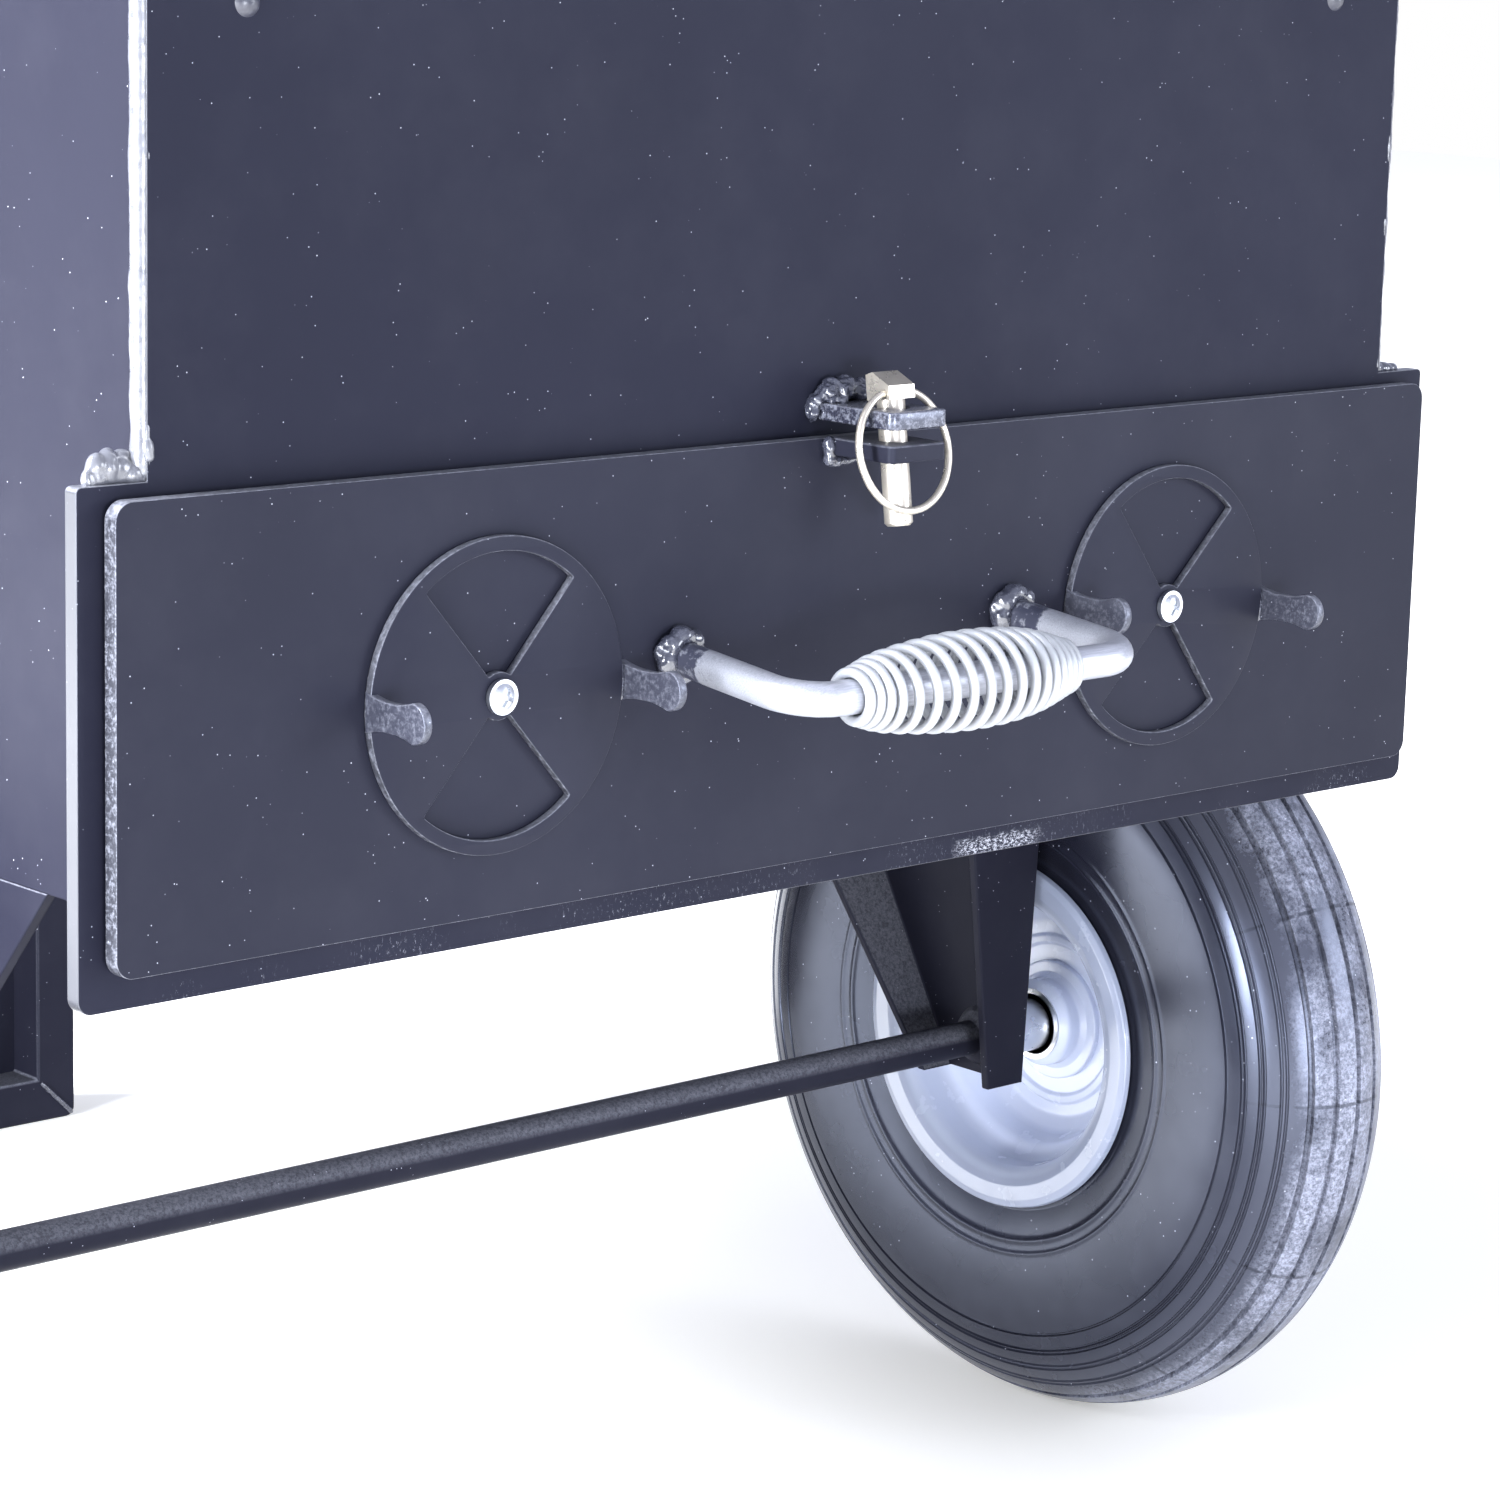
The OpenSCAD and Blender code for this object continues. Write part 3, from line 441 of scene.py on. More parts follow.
def fine(node, width=0.45, segs=2, mat=None, angle=32, edge=None):
    """A copy of a CAD node with its flat faces joined and its edges softly rounded, width in mm.

    edge is a lighter material for the rounded edges and the cut sides of an upright plate: painted highlight where
    they catch the light."""
    bm = bmesh.new()
    bm.from_mesh(nodes[node].data)
    bmesh.ops.remove_doubles(bm, verts=bm.verts, dist=3e-6)
    bmesh.ops.dissolve_limit(bm, angle_limit=math.radians(0.6), verts=bm.verts, edges=bm.edges)
    me = from_bm(node + "_fine", bm)
    for p in me.polygons:
        p.use_smooth = True
    obj = bpy.data.objects.new(node + "_tmp", me)
    scene.collection.objects.link(obj)
    mod = obj.modifiers.new("bevel", "BEVEL")
    mod.width = width * MM
    mod.segments = segs
    mod.limit_method = "ANGLE"
    mod.angle_limit = math.radians(angle)
    mod.material = 1
    mod.use_clamp_overlap = True
    me.materials.append(mat or MATS[node_slot[node]])
    me.materials.append(mat or MATS[node_slot[node]])
    out = evaluated(obj, node + "_fine")
    for p in out.polygons:
        p.use_smooth = p.material_index == 1
        p.material_index = 0
    obj = piece(node + "_fine", out, mat or MATS[node_slot[node]], body_of[node], (node,))
    if edge is not None:
        out.materials.append(edge)
        for p in out.polygons:
            # rounded edges and cut sides take the lighter edge paint: painted highlight
            p.material_index = int(p.use_smooth or abs(p.normal.y) < 0.5)
    return obj


def polar(radius, degrees):
    """A point at a distance and an angle from the middle."""
    return radius * math.cos(math.radians(degrees)), radius * math.sin(math.radians(degrees))


def circle(radius, steps):
    """The points of a full circle."""
    turns = [2 * math.pi * i / steps for i in range(steps)]
    return [(radius * math.cos(a), radius * math.sin(a)) for a in turns]


def plate(loops, thick, bevel):
    """A flat plate from closed point loops in XY, middle plane at z 0, sizes in mm."""
    cu = bpy.data.curves.new("plate", "CURVE")
    cu.dimensions = "2D"
    cu.fill_mode = "BOTH"
    cu.extrude = (thick / 2 - bevel) * MM
    cu.bevel_depth = bevel * MM
    cu.bevel_resolution = 2
    cu.offset = -bevel * MM
    for loop in loops:
        sp = cu.splines.new("POLY")
        sp.points.add(len(loop) - 1)
        for p, (x, y) in zip(sp.points, loop):
            p.co = (x * MM, y * MM, 0, 1)
        sp.use_cyclic_u = True
    obj = bpy.data.objects.new("plate", cu)
    scene.collection.objects.link(obj)
    me = evaluated(obj, "plate")
    bm = bmesh.new()
    bm.from_mesh(me)
    bmesh.ops.remove_doubles(bm, verts=bm.verts, dist=2e-6)
    bmesh.ops.recalc_face_normals(bm, faces=bm.faces)
    bm.to_mesh(me)
    bm.free()
    return me


def tube(points, radius, sides=24):
    """A round bar along points, in metres; radius may be one number or a list, in mm."""
    cu = bpy.data.curves.new("tube", "CURVE")
    cu.dimensions = "3D"
    cu.bevel_depth = MM
    cu.bevel_resolution = max(1, sides // 4 - 1)
    cu.use_fill_caps = True
    sp = cu.splines.new("POLY")
    sp.points.add(len(points) - 1)
    for i, (p, q) in enumerate(zip(sp.points, points)):
        p.co = (*q, 1)
        p.radius = radius[i] if isinstance(radius, (list, tuple)) else radius
    obj = bpy.data.objects.new("tube", cu)
    scene.collection.objects.link(obj)
    return evaluated(obj, "tube")


def lathe(profile, steps=192):
    """Turns (radius, width) points in mm about the X axis."""
    bm = bmesh.new()
    rings = []
    for i in range(steps):
        a = 2 * math.pi * i / steps
        c, s = math.cos(a), math.sin(a)
        rings.append([bm.verts.new((w * MM, r * c * MM, r * s * MM)) for r, w in profile])
    n = len(profile)
    for i in range(steps):
        a, b = rings[i], rings[(i + 1) % steps]
        for j in range(n):
            k = (j + 1) % n
            bm.faces.new((a[j], a[k], b[k], b[j]))
    return from_bm("lathe", bm)


def rounded(points, radius, steps=5):
    """Rounds the corners of a closed outline; radius is one number or one for each corner."""
    out = []
    n = len(points)
    for i, p in enumerate(points):
        r = radius[i] if isinstance(radius, (list, tuple)) else radius
        p, a, b = Vector(p), Vector(points[i - 1]), Vector(points[(i + 1) % n])
        if r <= 0:
            out.append(tuple(p))
            continue
        u, v = (a - p).normalized(), (b - p).normalized()
        half = math.acos(max(-1, min(1, u.dot(v)))) / 2
        d = min(r / math.tan(half), 0.49 * (a - p).length, 0.49 * (b - p).length)
        p0, p1 = p + u * d, p + v * d
        for k in range(steps + 1):
            t = k / steps
            out.append(tuple((1 - t) ** 2 * p0 + 2 * t * (1 - t) * p + t * t * p1))
    return out


def lump(spots, voxel=0.5, rough=0.35, scale=0.35, seed=0):
    """A welded lump: blended balls (x, y, z, rx, ry, rz in mm) remeshed and roughened."""
    bm = bmesh.new()
    for x, y, z, rx, ry, rz in spots:
        m = Matrix.Translation((x * MM, y * MM, z * MM)) @ Matrix.Diagonal((rx * MM, ry * MM, rz * MM, 1))
        bmesh.ops.create_icosphere(bm, subdivisions=3, radius=1, matrix=m)
    me = bpy.data.meshes.new("lump")
    bm.to_mesh(me)
    bm.free()
    obj = bpy.data.objects.new("lump", me)
    scene.collection.objects.link(obj)
    re = obj.modifiers.new("remesh", "REMESH")
    re.mode = "VOXEL"
    re.voxel_size = voxel * MM
    sm = obj.modifiers.new("smooth", "SMOOTH")
    sm.iterations = 26
    sm.factor = 0.5
    me = evaluated(obj, "lump")
    off = Vector((seed * 7.3, seed * 3.1, seed * 5.7))
    normals = [v.normal.copy() for v in me.vertices]
    for v, nrm in zip(me.vertices, normals):
        q = v.co / MM * scale + off
        h = noise.noise(q) + 0.5 * noise.noise(q * 2.3)
        v.co += nrm * h * rough * MM
    return me


def bone(reach, root=5.3, neck=3.9, tip=5.3, steps=48):
    """Thumb tab outline: x runs out from the root, y is across."""
    top = []
    c = reach - tip
    for i in range(steps + 1):
        s = reach * (1 - math.cos(math.pi * i / steps)) / 2
        flare = neck + (root - neck) * max(0.0, 1 - s / 9) ** 2
        swell = neck + (tip - neck) * max(0.0, min(1.0, (s - (c - 7)) / 7)) ** 1.6
        w = max(flare, min(swell, tip))
        if s > c:
            w = math.sqrt(max(0.0, tip * tip - (s - c) ** 2))
        top.append((s, w))
    return top + [(s, -w) for s, w in reversed(top[:-1])]


def axes(x, y, z, origin):
    """Matrix whose columns are the local axes in the row frame, origin in metres."""
    m = Matrix((x, y, z)).transposed().to_4x4()
    m.translation = Vector(origin)
    return m

# ------------------------------------------------------------------ box and frame pieces

for node, width in {
    "end_panel": 0.7, "side_left": 0.4, "side_right": 0.4, "far_panel": 0.4, "box_floor": 0.3,
    "rail_front": 0.4, "rail_far": 0.4, "runner_left": 0.3, "runner_right": 0.3,
    "bracket_left": 0.6, "bracket_right": 0.6, "leg_frame": 1.2, "lower_lug": 0.5,
    "drawer_front": 0.6, "drawer_tray": 0.3, "latch_pin": 0.35,
}.items():
    # the drawer front and the end panel get lighter paint on their edges and cut sides: painted highlight
    fine(node, width, mat={"end_panel": MATS["panel_face"]}.get(node),
         edge={"drawer_front": MATS["edge_wear_and_painted_highlight"], "end_panel": MATS["panel_edge_painted_highlight"]}.get(node))

door_lo, door_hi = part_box("drawer_front")
panel_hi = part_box("end_panel")[1]
side_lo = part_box("side_left")[0]
door_mid = (door_lo + door_hi) / 2


def weld_run(name, points, radius, body, mat, ripple=0.18, seed=0, pitch=2.2, replaces=(), uneven=0.1):
    """A rippled weld bead along points in metres, radius in mm."""
    dense = []
    for a, b in zip(points, points[1:]):
        a, b = Vector(a), Vector(b)
        n = max(2, int((b - a).length / (0.35 * MM)))
        dense += [a.lerp(b, i / n) for i in range(n)]
    dense.append(Vector(points[-1]))
    run, radii = 0.0, []
    for i, p in enumerate(dense):
        run += (p - dense[i - 1]).length / MM if i else 0
        end = min(1.0, min(i, len(dense) - 1 - i) / 5)
        wave = abs(math.sin(math.pi * run / pitch))
        radii.append(radius * (0.55 + 0.45 * math.sqrt(end)) * (1 - ripple + ripple * wave)
                     * (1 + 0.16 * noise.noise(Vector((run * 0.12, seed * 9.1, 0)))))
    me = tube(dense, radii, 20)
    for v in me.vertices:
        v.co += v.normal * noise.noise(v.co / MM * 0.35 + Vector((seed, 0, 0))) * uneven * MM
    return piece(name, me, mat, body, replaces, smooth=80)


# corner beads above the ears, with a drop on the left one, all in the lighter weld paint: painted highlight
corner_top, corner_low = panel_hi.z - 0.6 * MM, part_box("corner_welds")[0].z
for s, tag in ((-1, "left"), (1, "right")):
    x = side_lo.x if s < 0 else -side_lo.x
    line = [(x - s * 0.6 * MM, panel_hi.y - 1.6 * MM, z) for z in (corner_low, corner_top)]
    weld_run("corner_bead_" + tag, line, 3.0, "base", MATS["weld_painted_highlight"], 0.015, 3 + s, 3.2,
             ("corner_welds",) if s < 0 else ())
x = side_lo.x / MM
z0 = corner_low / MM
drop = lump([(x + 0.6, 0.8, z0 + 8, 1.8, 1.6, 3.0), (x + 0.2, 1.0, z0 + 12, 1.2, 1.3, 3.6),
             (x + 0.9, 0.6, z0 + 6.0, 1.5, 1.4, 1.6)], 0.3, 0.08, 0.5, 2)
piece("corner_drop_left", drop, MATS["weld_painted_highlight"], "base", smooth=60)
# the left ear weld takes the lighter weld paint, a painted highlight; the right one keeps the plain weld paint
patch = lump([
    (x - 2.0, 4.0, z0 + 1.5, 3.6, 3.4, 3.6), (x - 5.5, 4.4, z0 + 2.6, 3.6, 3.2, 4.4),
    (x - 9.0, 4.0, z0 + 3.4, 3.4, 3.0, 4.6), (x - 12.2, 3.6, z0 + 3.0, 3.0, 2.6, 4.6),
    (x - 14.8, 3.4, z0 + 1.0, 2.2, 2.2, 3.0), (x + 0.5, 3.2, z0 + 0.6, 2.4, 2.6, 2.4),
    (x - 4.0, 5.4, z0 + 5.6, 2.8, 2.2, 2.4), (x - 8.2, 5.0, z0 + 6.6, 2.2, 1.8, 1.6)], 0.3, 0.55, 0.16, 5)
piece("ear_weld_left", patch, MATS["weld_painted_highlight"], "base", smooth=50)
patch = lump([(-x + 2.0, 4.0, z0 + 0.8, 3.4, 3.0, 2.6), (-x + 6.5, 4.0, z0 + 0.6, 3.4, 2.6, 2.2),
              (-x + 10.5, 3.8, z0 + 0.4, 2.8, 2.2, 1.8)], 0.4, 0.4, 0.33, 8)
piece("ear_weld_right", patch, MATS["weld_black"], "base", smooth=50)

# beads across the leg frame's lower corner
leg_lo, leg_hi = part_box("leg_frame")
for side, tag in ((-1, "left"), (1, "right")):
    x0 = leg_lo.x if side < 0 else leg_hi.x
    line = [(x0 - side * t * MM, leg_lo.y - 0.2 * MM, leg_lo.z + t * MM) for t in (1.5, 17.0)]
    weld_run("leg_bead_" + tag, line, 1.1, "base", MATS["weld_black"], 0.12, 60 + side, 3.0)

# upper lug: closed in front, as the real one, over the open CAD lug
lug_lo, lug_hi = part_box("upper_lug")
pin_hole = Vector((0, (lug_lo.y + 11.3 * MM), 0))
w, tip, thick = lug_hi.x / MM, lug_lo.y / MM, (lug_hi.z - lug_lo.z) / MM
outline = rounded([(-w, 0.5), (-w, tip), (w, tip), (w, 0.5)], [0, 3.2, 2.2, 0], 6)
hole = [(4.6 * x, pin_hole.y / MM + 4.9 * y) for x, y in circle(1, 40)]
me = plate([outline, hole], thick, 0.6)
piece("upper_lug_closed", me, MATS["lug_black"], "base", ("upper_lug",),
      Matrix.Translation((0, 0, (lug_lo.z + lug_hi.z) / 2)), smooth=40)
lz = lug_hi.z / MM
rough_spots = [(-11.6, -1.6, lz - 2.6, 1.9, 2.6, 3.2), (-10.5, -2.2, lz + 0.6, 2.6, 3.2, 2.0),
               (-8.0, -3.4, lz + 2.6, 2.8, 4.2, 2.6), (-5.6, -2.6, lz + 4.4, 2.4, 3.6, 2.4),
               (-3.4, -4.2, lz + 3.0, 2.8, 4.8, 2.8), (-1.0, -3.0, lz + 4.6, 2.6, 3.8, 2.6),
               (1.6, -4.0, lz + 2.6, 2.8, 4.6, 2.8), (4.4, -3.0, lz + 3.6, 2.6, 3.6, 2.4),
               (7.0, -3.2, lz + 1.6, 2.8, 3.6, 2.2), (9.6, -2.0, lz + 0.4, 2.2, 2.8, 2.0),
               (11.2, -1.6, lz - 2.4, 1.6, 2.2, 2.6), (-6.4, -6.0, lz + 0.6, 2.6, 3.2, 1.4)]
weld = lump(rough_spots, 0.4, 0.9, 0.4, 12)
piece("upper_lug_weld", weld, MATS["weld_black"], "base", smooth=50)

lug_lo, lug_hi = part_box("lower_lug")
front = door_lo.y / MM
lz = lug_lo.z / MM
low_spots = [(-11.2, front - 1.6, lz + 2.4, 1.8, 2.4, 3.0), (-11.0, front - 1.4, lz - 1.0, 2.0, 2.2, 2.4),
             (-9.0, front - 1.6, lz - 1.8, 2.4, 2.6, 1.9), (-5.0, front - 1.6, lz - 1.6, 3.2, 2.6, 1.6),
             (0.0, front - 1.5, lz - 1.2, 4.0, 2.4, 1.5), (5.0, front - 1.4, lz - 1.2, 3.6, 2.2, 1.5),
             (9.6, front - 1.4, lz - 0.8, 2.2, 2.2, 1.8), (11.2, front - 1.3, lz + 2.2, 1.4, 2.0, 2.4)]
weld = lump(low_spots, 0.4, 0.45, 0.4, 21)
piece("lower_lug_weld", weld, MATS["weld_black"], "drawer", smooth=50)

# ------------------------------------------------------------------ dampers and tabs


def damper(side, turn):
    """Disc with two windows and its bent thumb tab, about the joint's own axis."""
    lo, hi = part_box("damper_" + side)
    c = Vector(joints[f"damper_{side}_turn"]["pos_m"])
    r_out, win = 41.7, 37.7
    back = door_lo.y - 0.3 * MM
    thick = 2.6
    loops = [circle(r_out, 160)]
    for mid in (90, 270):
        arc = [polar(win, mid + a) for a in [-40 + 80 * i / 40 for i in range(41)]]
        inner = [polar(6.4, mid + a) for a in (34, 17, 0, -17, -34)]
        corner = [1.2] + [0] * 39 + [1.2] + [0.5] + [0] * 3 + [0.5]
        loops.append(rounded(arc + inner, corner, 4))
    me = plate(loops, thick, 0.35)
    turned = Matrix.Rotation(math.radians(turn), 4, "Y")
    upright = axes((1, 0, 0), (0, 0, 1), (0, -1, 0), (0, 0, 0))
    place = Matrix.Translation((c.x, back - thick / 2 * MM, c.z)) @ turned @ upright
    flat = place.to_3x3() @ Vector((0, 0, 1))
    piece("damper_disc_" + side, me, MATS["drawer_black"], "damper_" + side,
          ("damper_" + side,), place, 40)
    # the disc's rim and window edges take the lighter edge paint: painted highlight where they catch the light
    me.materials.append(MATS["edge_wear_and_painted_highlight"])
    for p in me.polygons:
        p.material_index = int(abs(p.normal.dot(flat)) < 0.9)
    reach = (door_lo.y - lo.y) / MM - 0.3 - 0.4
    me = plate([bone(reach)], thick, 0.4)
    outward = axes((0, -1, 0), (0, 0, 1), (-1, 0, 0), ((-r_out + thick / 2) * MM, 0, 0))
    place = Matrix.Translation((c.x, back - 0.4 * MM, c.z)) @ turned @ outward
    piece("damper_tab_" + side, me, MATS["tab_black"], "damper_" + side, (), place, 40)


damper("left", 0)
damper("right", 4.5)

tabs_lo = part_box("stop_tabs")[0]
for side, x, drop_z in (("left", -1, 0.6), ("right", 1, 3.6)):
    c = Vector(joints[f"damper_{side}_turn"]["pos_m"])
    reach = (door_lo.y - tabs_lo.y) / MM
    me = plate([bone(reach, 5.4, 4.0)], 2.6, 0.4)
    at = Vector((c.x + (41.7 + 0.7 + 1.3) * MM, door_lo.y, c.z - drop_z * MM))
    piece("stop_tab_" + side, me, MATS["tab_black"], "drawer",
          ("stop_tabs",) if side == "left" else (), axes((0, -1, 0), (0, 0, 1), (-1, 0, 0), at), 40)
    p = at / MM
    bead = lump([(p.x - 1.6, p.y - 0.8, p.z + 3.4, 1.5, 1.9, 1.9),
                 (p.x - 1.7, p.y - 0.9, p.z + 1.0, 1.5, 2.1, 2.1),
                 (p.x - 1.7, p.y - 0.9, p.z - 1.4, 1.5, 2.1, 2.1),
                 (p.x - 1.6, p.y - 0.8, p.z - 3.8, 1.5, 1.9, 1.9)],
                0.35, 0.12, 0.5, 31 + x)
    piece("stop_tab_weld_" + side, bead, MATS["weld_black"], "drawer", smooth=60)

# ------------------------------------------------------------------ handle and grip

bar_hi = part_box("handle_bar")[1]
LEAN = math.radians(6)
hand = Matrix.Translation((0, door_lo.y, door_mid.z + 3.7 * MM)) @ Matrix.Rotation(LEAN, 4, "X")
leg_x, reach, bend, rod_r = (bar_hi.x / MM) - 4.75, 49.6, 13.0, 4.75
path = [(-leg_x, 0.5, 0)] + [(-leg_x, -t * (reach - bend) / 10, 0) for t in range(1, 10)]
path += [(-leg_x + bend - bend * math.cos(a), -(reach - bend) - bend * math.sin(a), 0)
         for a in [math.pi / 2 * i / 14 for i in range(15)]]
path += [(-leg_x + bend + (2 * leg_x - 2 * bend) * i / 24, -reach, 0) for i in range(1, 24)]
path += [(leg_x - bend + bend * math.sin(a), -(reach - bend) - bend * math.cos(a), 0)
         for a in [math.pi / 2 * i / 14 for i in range(15)]]
path += [(leg_x, -t * (reach - bend) / 10, 0) for t in range(9, 0, -1)] + [(leg_x, 0.5, 0)]
world_path = [hand @ Vector((a * MM, b * MM, c * MM)) for a, b, c in path]
me = tube(world_path, rod_r, 40)
piece("handle_rod", me, MATS["handle_rod"], "drawer", ("handle_bar",), smooth=50)

for s, tag in ((-1, "left"), (1, "right")):
    p = (hand @ Vector((s * leg_x * MM, 0, 0))) / MM
    spots = [(p.x - 5.6, p.y - 2.2, p.z - 0.5, 3.4, 3.4, 3.6),
             (p.x - 4.6, p.y - 2.4, p.z + 3.8, 3.4, 3.4, 3.2),
             (p.x - 0.8, p.y - 2.4, p.z + 6.0, 3.8, 3.6, 2.8),
             (p.x + 3.6, p.y - 2.2, p.z + 4.4, 3.2, 3.2, 2.8),
             (p.x - 4.8, p.y - 1.8, p.z - 4.0, 3.0, 2.8, 2.6),
             (p.x + 0.5, p.y - 1.6, p.z - 5.4, 3.6, 2.6, 2.2),
             (p.x + 5.2, p.y - 1.8, p.z + 0.2, 2.4, 2.8, 3.4),
             (p.x + 4.2, p.y - 1.6, p.z - 3.8, 2.6, 2.4, 2.4),
             (p.x - 7.0, p.y - 1.0, p.z + 1.6, 2.2, 1.8, 3.0)]
    weld = lump(spots, 0.4, 0.3, 0.28, 40 + s)
    piece("handle_weld_" + tag, weld, MATS["weld_black"], "drawer",
          ("handle_welds",) if s < 0 else (), smooth=60)


def ramp_sum(t, a, w):
    return w * math.log(1 + math.exp((t - a) / w))


def spring():
    """Barrel shaped coil grip: close turns, open turns, then close turns again."""
    turns, length, wire, off = 18, 84.0, 1.45, -5.8
    def run(t):
        return 2.98 * t + 3.6 * (ramp_sum(t, 3.6, 0.35) - ramp_sum(t, 12.6, 1.1))
    pts = []
    n = turns * 56
    for i in range(n + 1):
        u = i / n
        x = (run(u * turns) / run(turns) - 0.5) * (length - 2 * wire) + off
        rad = rod_r + wire + 0.15 + 5.9 * math.sin(math.pi * u) ** 1.25
        a = 2 * math.pi * turns * u
        pts.append(hand @ Vector((x * MM, -reach * MM + rad * math.cos(a) * MM, rad * math.sin(a) * MM)))
    me = tube(pts, wire, 20)
    return piece("spring_coil", me, MATS["bright_wire"], "drawer", ("spring_grip",), smooth=60)


spring()

# ------------------------------------------------------------------ latch ring

lean = math.atan2(joints["pin_lift"]["axis"][1], joints["pin_lift"]["axis"][2])
pivot = Vector(joints["ring_swing"]["pos_m"])
tilt = Matrix.Translation(pivot) @ Matrix.Rotation(-lean - math.radians(5.1), 4, "X")
ring_r, end_x = 16.6, 5.75
gap = math.asin(end_x / ring_r)
fall = ring_r * math.cos(gap)
pts = [(-2.2, 0, 0), (-3.4, 0, 0), (-4.6, 0, 0)]
pts += [(-ring_r * math.sin(a), 0, -fall + ring_r * math.cos(a))
        for a in [gap + (2 * math.pi - 2 * gap) * i / 120 for i in range(121)]]
pts += [(4.6, 0, 0), (3.4, 0, 0), (2.2, 0, 0)]
me = tube([tilt @ (Vector(p) * MM) for p in pts], 1.05, 16)
piece("latch_ring", me, MATS["latch_zinc"], "pin_ring", ("pin_ring",), smooth=60)

# ------------------------------------------------------------------ wheels


TYRE_R, TYRE_HALF = 136.0, 32.5   # outer radius and half width, mm
WIDEST_R = 97                     # radius where the side wall is widest
RIM_HALF, RIM_R = 32.6, 62.0      # half width over the flanges and their radius


def tyre_profile():
    """Closed (radius, width) outline of the tyre with its rounded, grooved tread."""
    R, W = TYRE_R, TYRE_HALF
    power = 2 / 2.1

    def on_crown(f):
        c, s = max(0.0, math.cos(f)), math.sin(f)
        return WIDEST_R + (R - WIDEST_R) * c ** power, W * abs(s) ** power * (1 if s > 0 else -1)
    arc, run, last = [], 0.0, on_crown(0)
    for i in range(1801):
        f = math.radians(i * 0.05)
        p = on_crown(f)
        run += math.hypot(p[0] - last[0], p[1] - last[1])
        last = p
        arc.append((run, *p))
    wide = (0.0, 9.4, 18.4)
    fine_at = (26.4, 28.2, 33.8, 35.4, 40.4, 41.8, 47.5)
    half, step = [], 0.0
    for k, (s, r, w) in enumerate(arc):
        if s < step:
            continue
        step = s + 0.16
        q = arc[min(k + 1, len(arc) - 1)]
        t = Vector((q[1] - r, q[2] - w))
        out = Vector((t.y, -t.x)).normalized() if t.length > 0 else Vector((0, 1))
        cut = 0.0
        for g in wide:
            cut = max(cut, 2.0 * max(0.0, 1 - (abs(s - g) / 1.15) ** 4) ** 0.5)
        for g in fine_at:
            cut = max(cut, 0.95 * max(0.0, 1 - (abs(s - g) / 0.55) ** 2) ** 0.5)
        half.append((r - out.x * cut, w - out.y * cut))
    low = []
    for i in range(1, 80):
        r = WIDEST_R + (62.8 - WIDEST_R) * i / 80
        w = W - 4.1 * ((WIDEST_R - r) / 34.2) ** 2
        w += 0.45 * math.exp(-((r - 73.5) / 1.0) ** 2) + 0.25 * math.exp(-((r - 78) / 0.7) ** 2)
        low.append((r, w))
    bead = [(62.8, 28.4), (60, 29.2), (56, 29.5), (50.9, 28.4), (50.6, 22)]
    right = low + bead
    left = [(r, -w) for r, w in reversed(right)]
    crown_left = [(r, -w) for r, w in reversed(half)][:-1]
    hollow = [(WIDEST_R - x, y) for x, y in [polar(26.4, a) for a in range(60, 301, 8)]]
    return crown_left + half + right + hollow + left


def rim_profile():
    """Closed outline of one pressed rim half: deep well, a pressed ring round the hub, rolled flange."""
    h, rr = RIM_HALF, RIM_R
    pts = [(15.4, 0.1), (36, 0.1), (42, 4), (44.5, 13), (49.8, 16), (50.4, 29), (55, h - 2.6),
           (58, h - 1.9), (61, h - 3.4),
           (rr, h - 2.4), (rr - 0.6, h - 0.6), (59, h), (54, h - 0.6), (48, 29.5), (47.4, 17.6),
           (42.4, 14.6),
           (39.8, 5.4), (34.8, 2.1), (30.5, 2.1), (29.5, 3.0), (27.5, 3.2), (26.3, 2.1), (15.4, 2.1)]
    ease = [0, 6, 5, 5, 4, 5, 2, 2, 0.6, 0.6, 0.8, 1.6, 2.5, 7, 6, 5, 4.5, 4, 0.8, 0.8, 0.8, 0.8, 0.3]
    return rounded(pts, ease, 8)


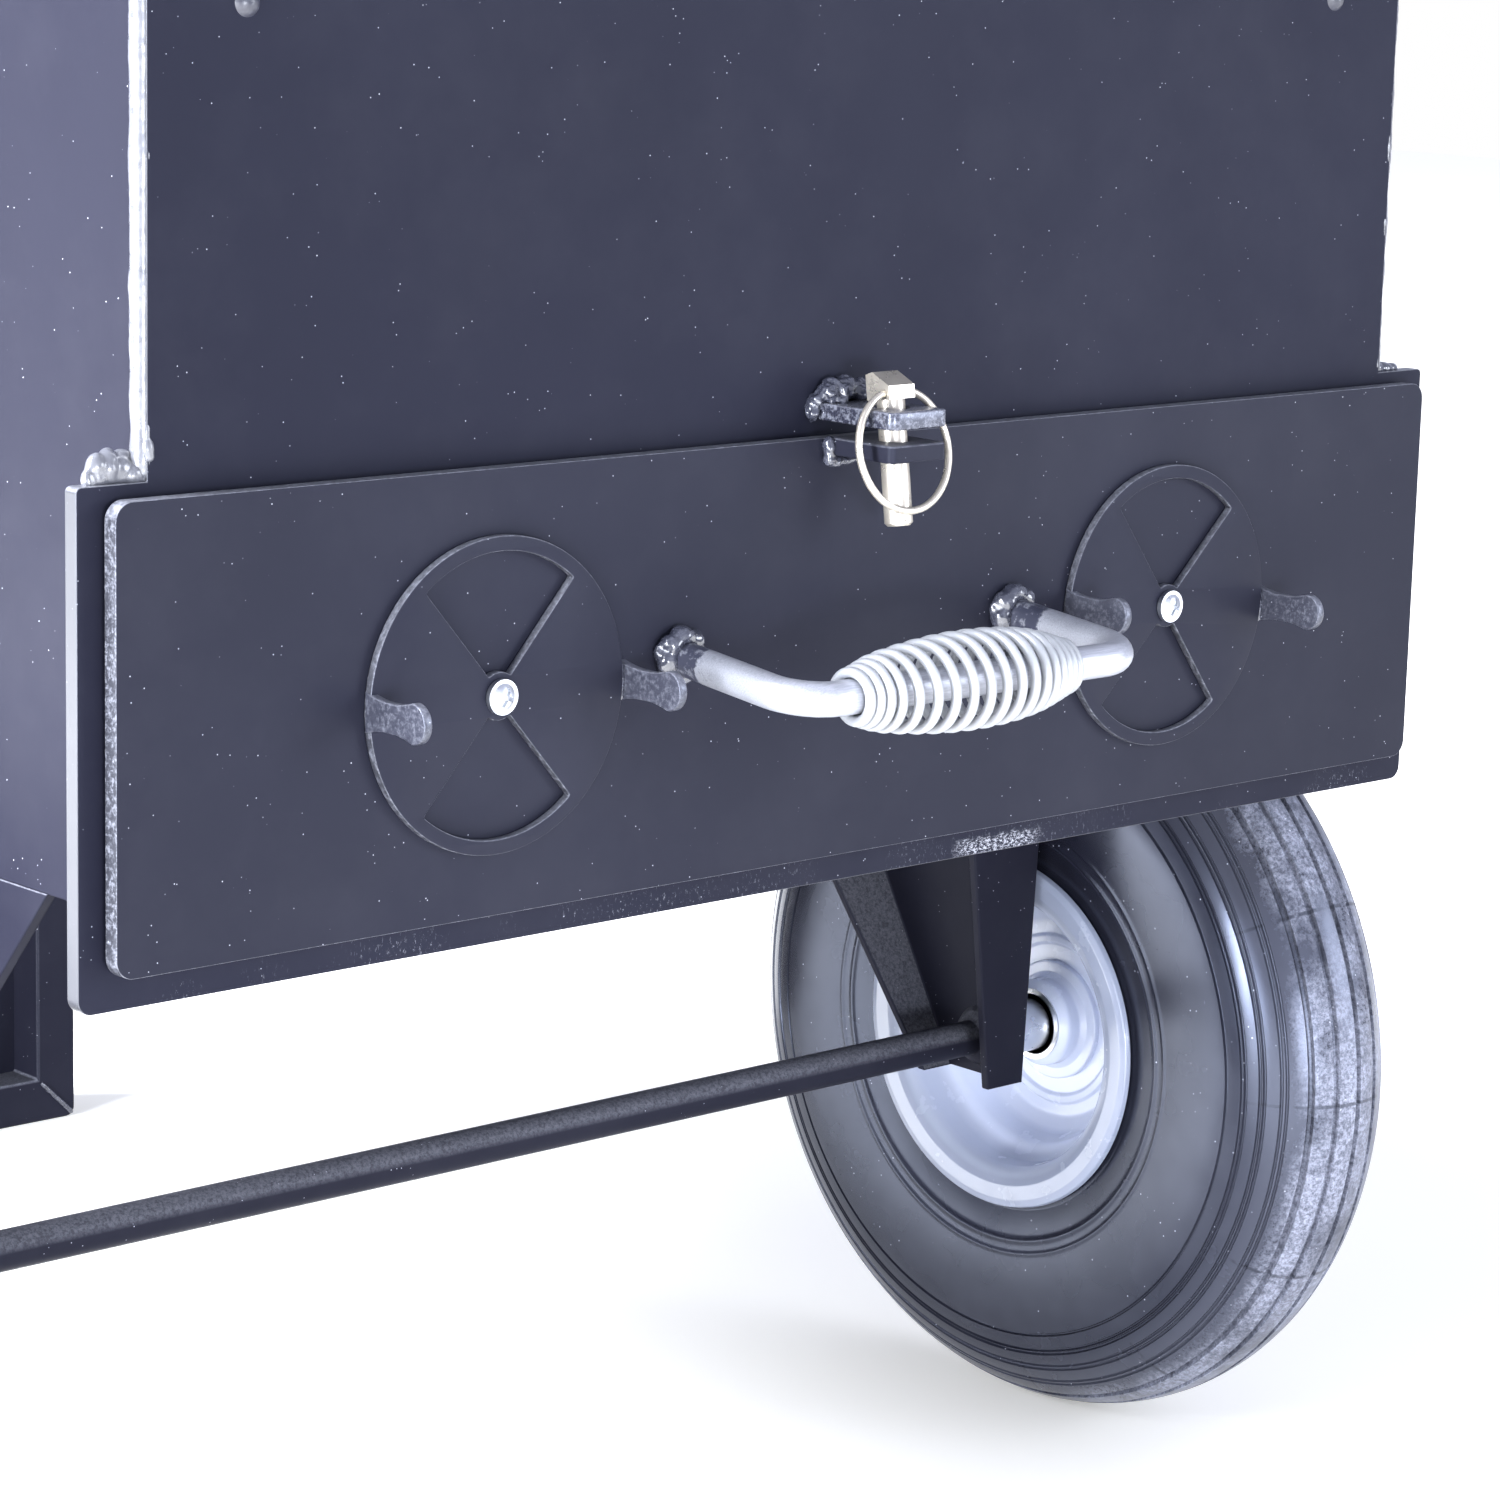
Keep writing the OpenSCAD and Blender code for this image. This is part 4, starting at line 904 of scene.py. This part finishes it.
def hub_profile(half, flange):
    """Closed outline of the hub tube, lips turned in over the bearings, with two collars at the rim."""
    a, b = half
    pts = [(6.35, a), (11.6, a), (15.3, a + 3.2), (15.3, -flange - 1.6), (17.2, -flange), (21, -flange),
           (21, flange),
           (17.2, flange), (15.3, flange + 1.6), (15.3, b - 3.2), (11.6, b), (6.35, b)]
    return rounded(pts, [0.3, 2.4, 2.4, 1.2, 0.8, 0.8, 0.8, 0.8, 1.2, 2.4, 2.4, 0.3], 6)


def wheel(side, s):
    hub = Vector(joints[f"wheel_{side}_spin"]["pos_m"])
    body = f"wheel_{side}"
    turn = Matrix.Translation(hub) @ Matrix.Rotation(0 if s > 0 else math.pi, 4, "Z")
    me = lathe(tyre_profile(), 256 if FULL else 128)
    piece("tyre_body_" + side, me, MATS["tyre_rubber"], body, ("tyre_" + side,), turn, 50)
    for flip, node in ((0, "rim_outer_"), (math.pi, "rim_inner_")):
        me = lathe(rim_profile(), 192 if FULL else 96)
        piece(node + side + "_round", me, MATS["rim_paint"], body, (node + side,),
              turn @ Matrix.Rotation(flip, 4, "Z"), 40)
    me = lathe(hub_profile((-14, 30.6), 4.4), 96)
    piece("hub_" + side + "_round", me, MATS["hub_paint"], body, ("hub_" + side,), turn, 40)


wheel("left", -1)
wheel("right", 1)

# ------------------------------------------------------------------ floor


def make_floor():
    bm = bmesh.new()
    bmesh.ops.create_grid(bm, x_segments=2, y_segments=2, size=6)
    me = bpy.data.meshes.new("floor")
    bm.to_mesh(me)
    bm.free()
    obj = bpy.data.objects.new("floor", me)
    scene.collection.objects.link(obj)
    m = Mat("floor_pale", (0.93, 0.93, 0.93), 0.8, spec=0.1)
    m.color(m.mix(m.ramp(m.noise(2, 2), 0.3, 0.7), (0.9, 0.88, 0.82), (0.92, 0.9, 0.84)))
    m.bsdf.inputs["Emission Color"].default_value = (1.0, 0.99, 0.95, 1)
    m.bsdf.inputs["Emission Strength"].default_value = 0.3
    me.materials.append(m.mat)


make_floor()
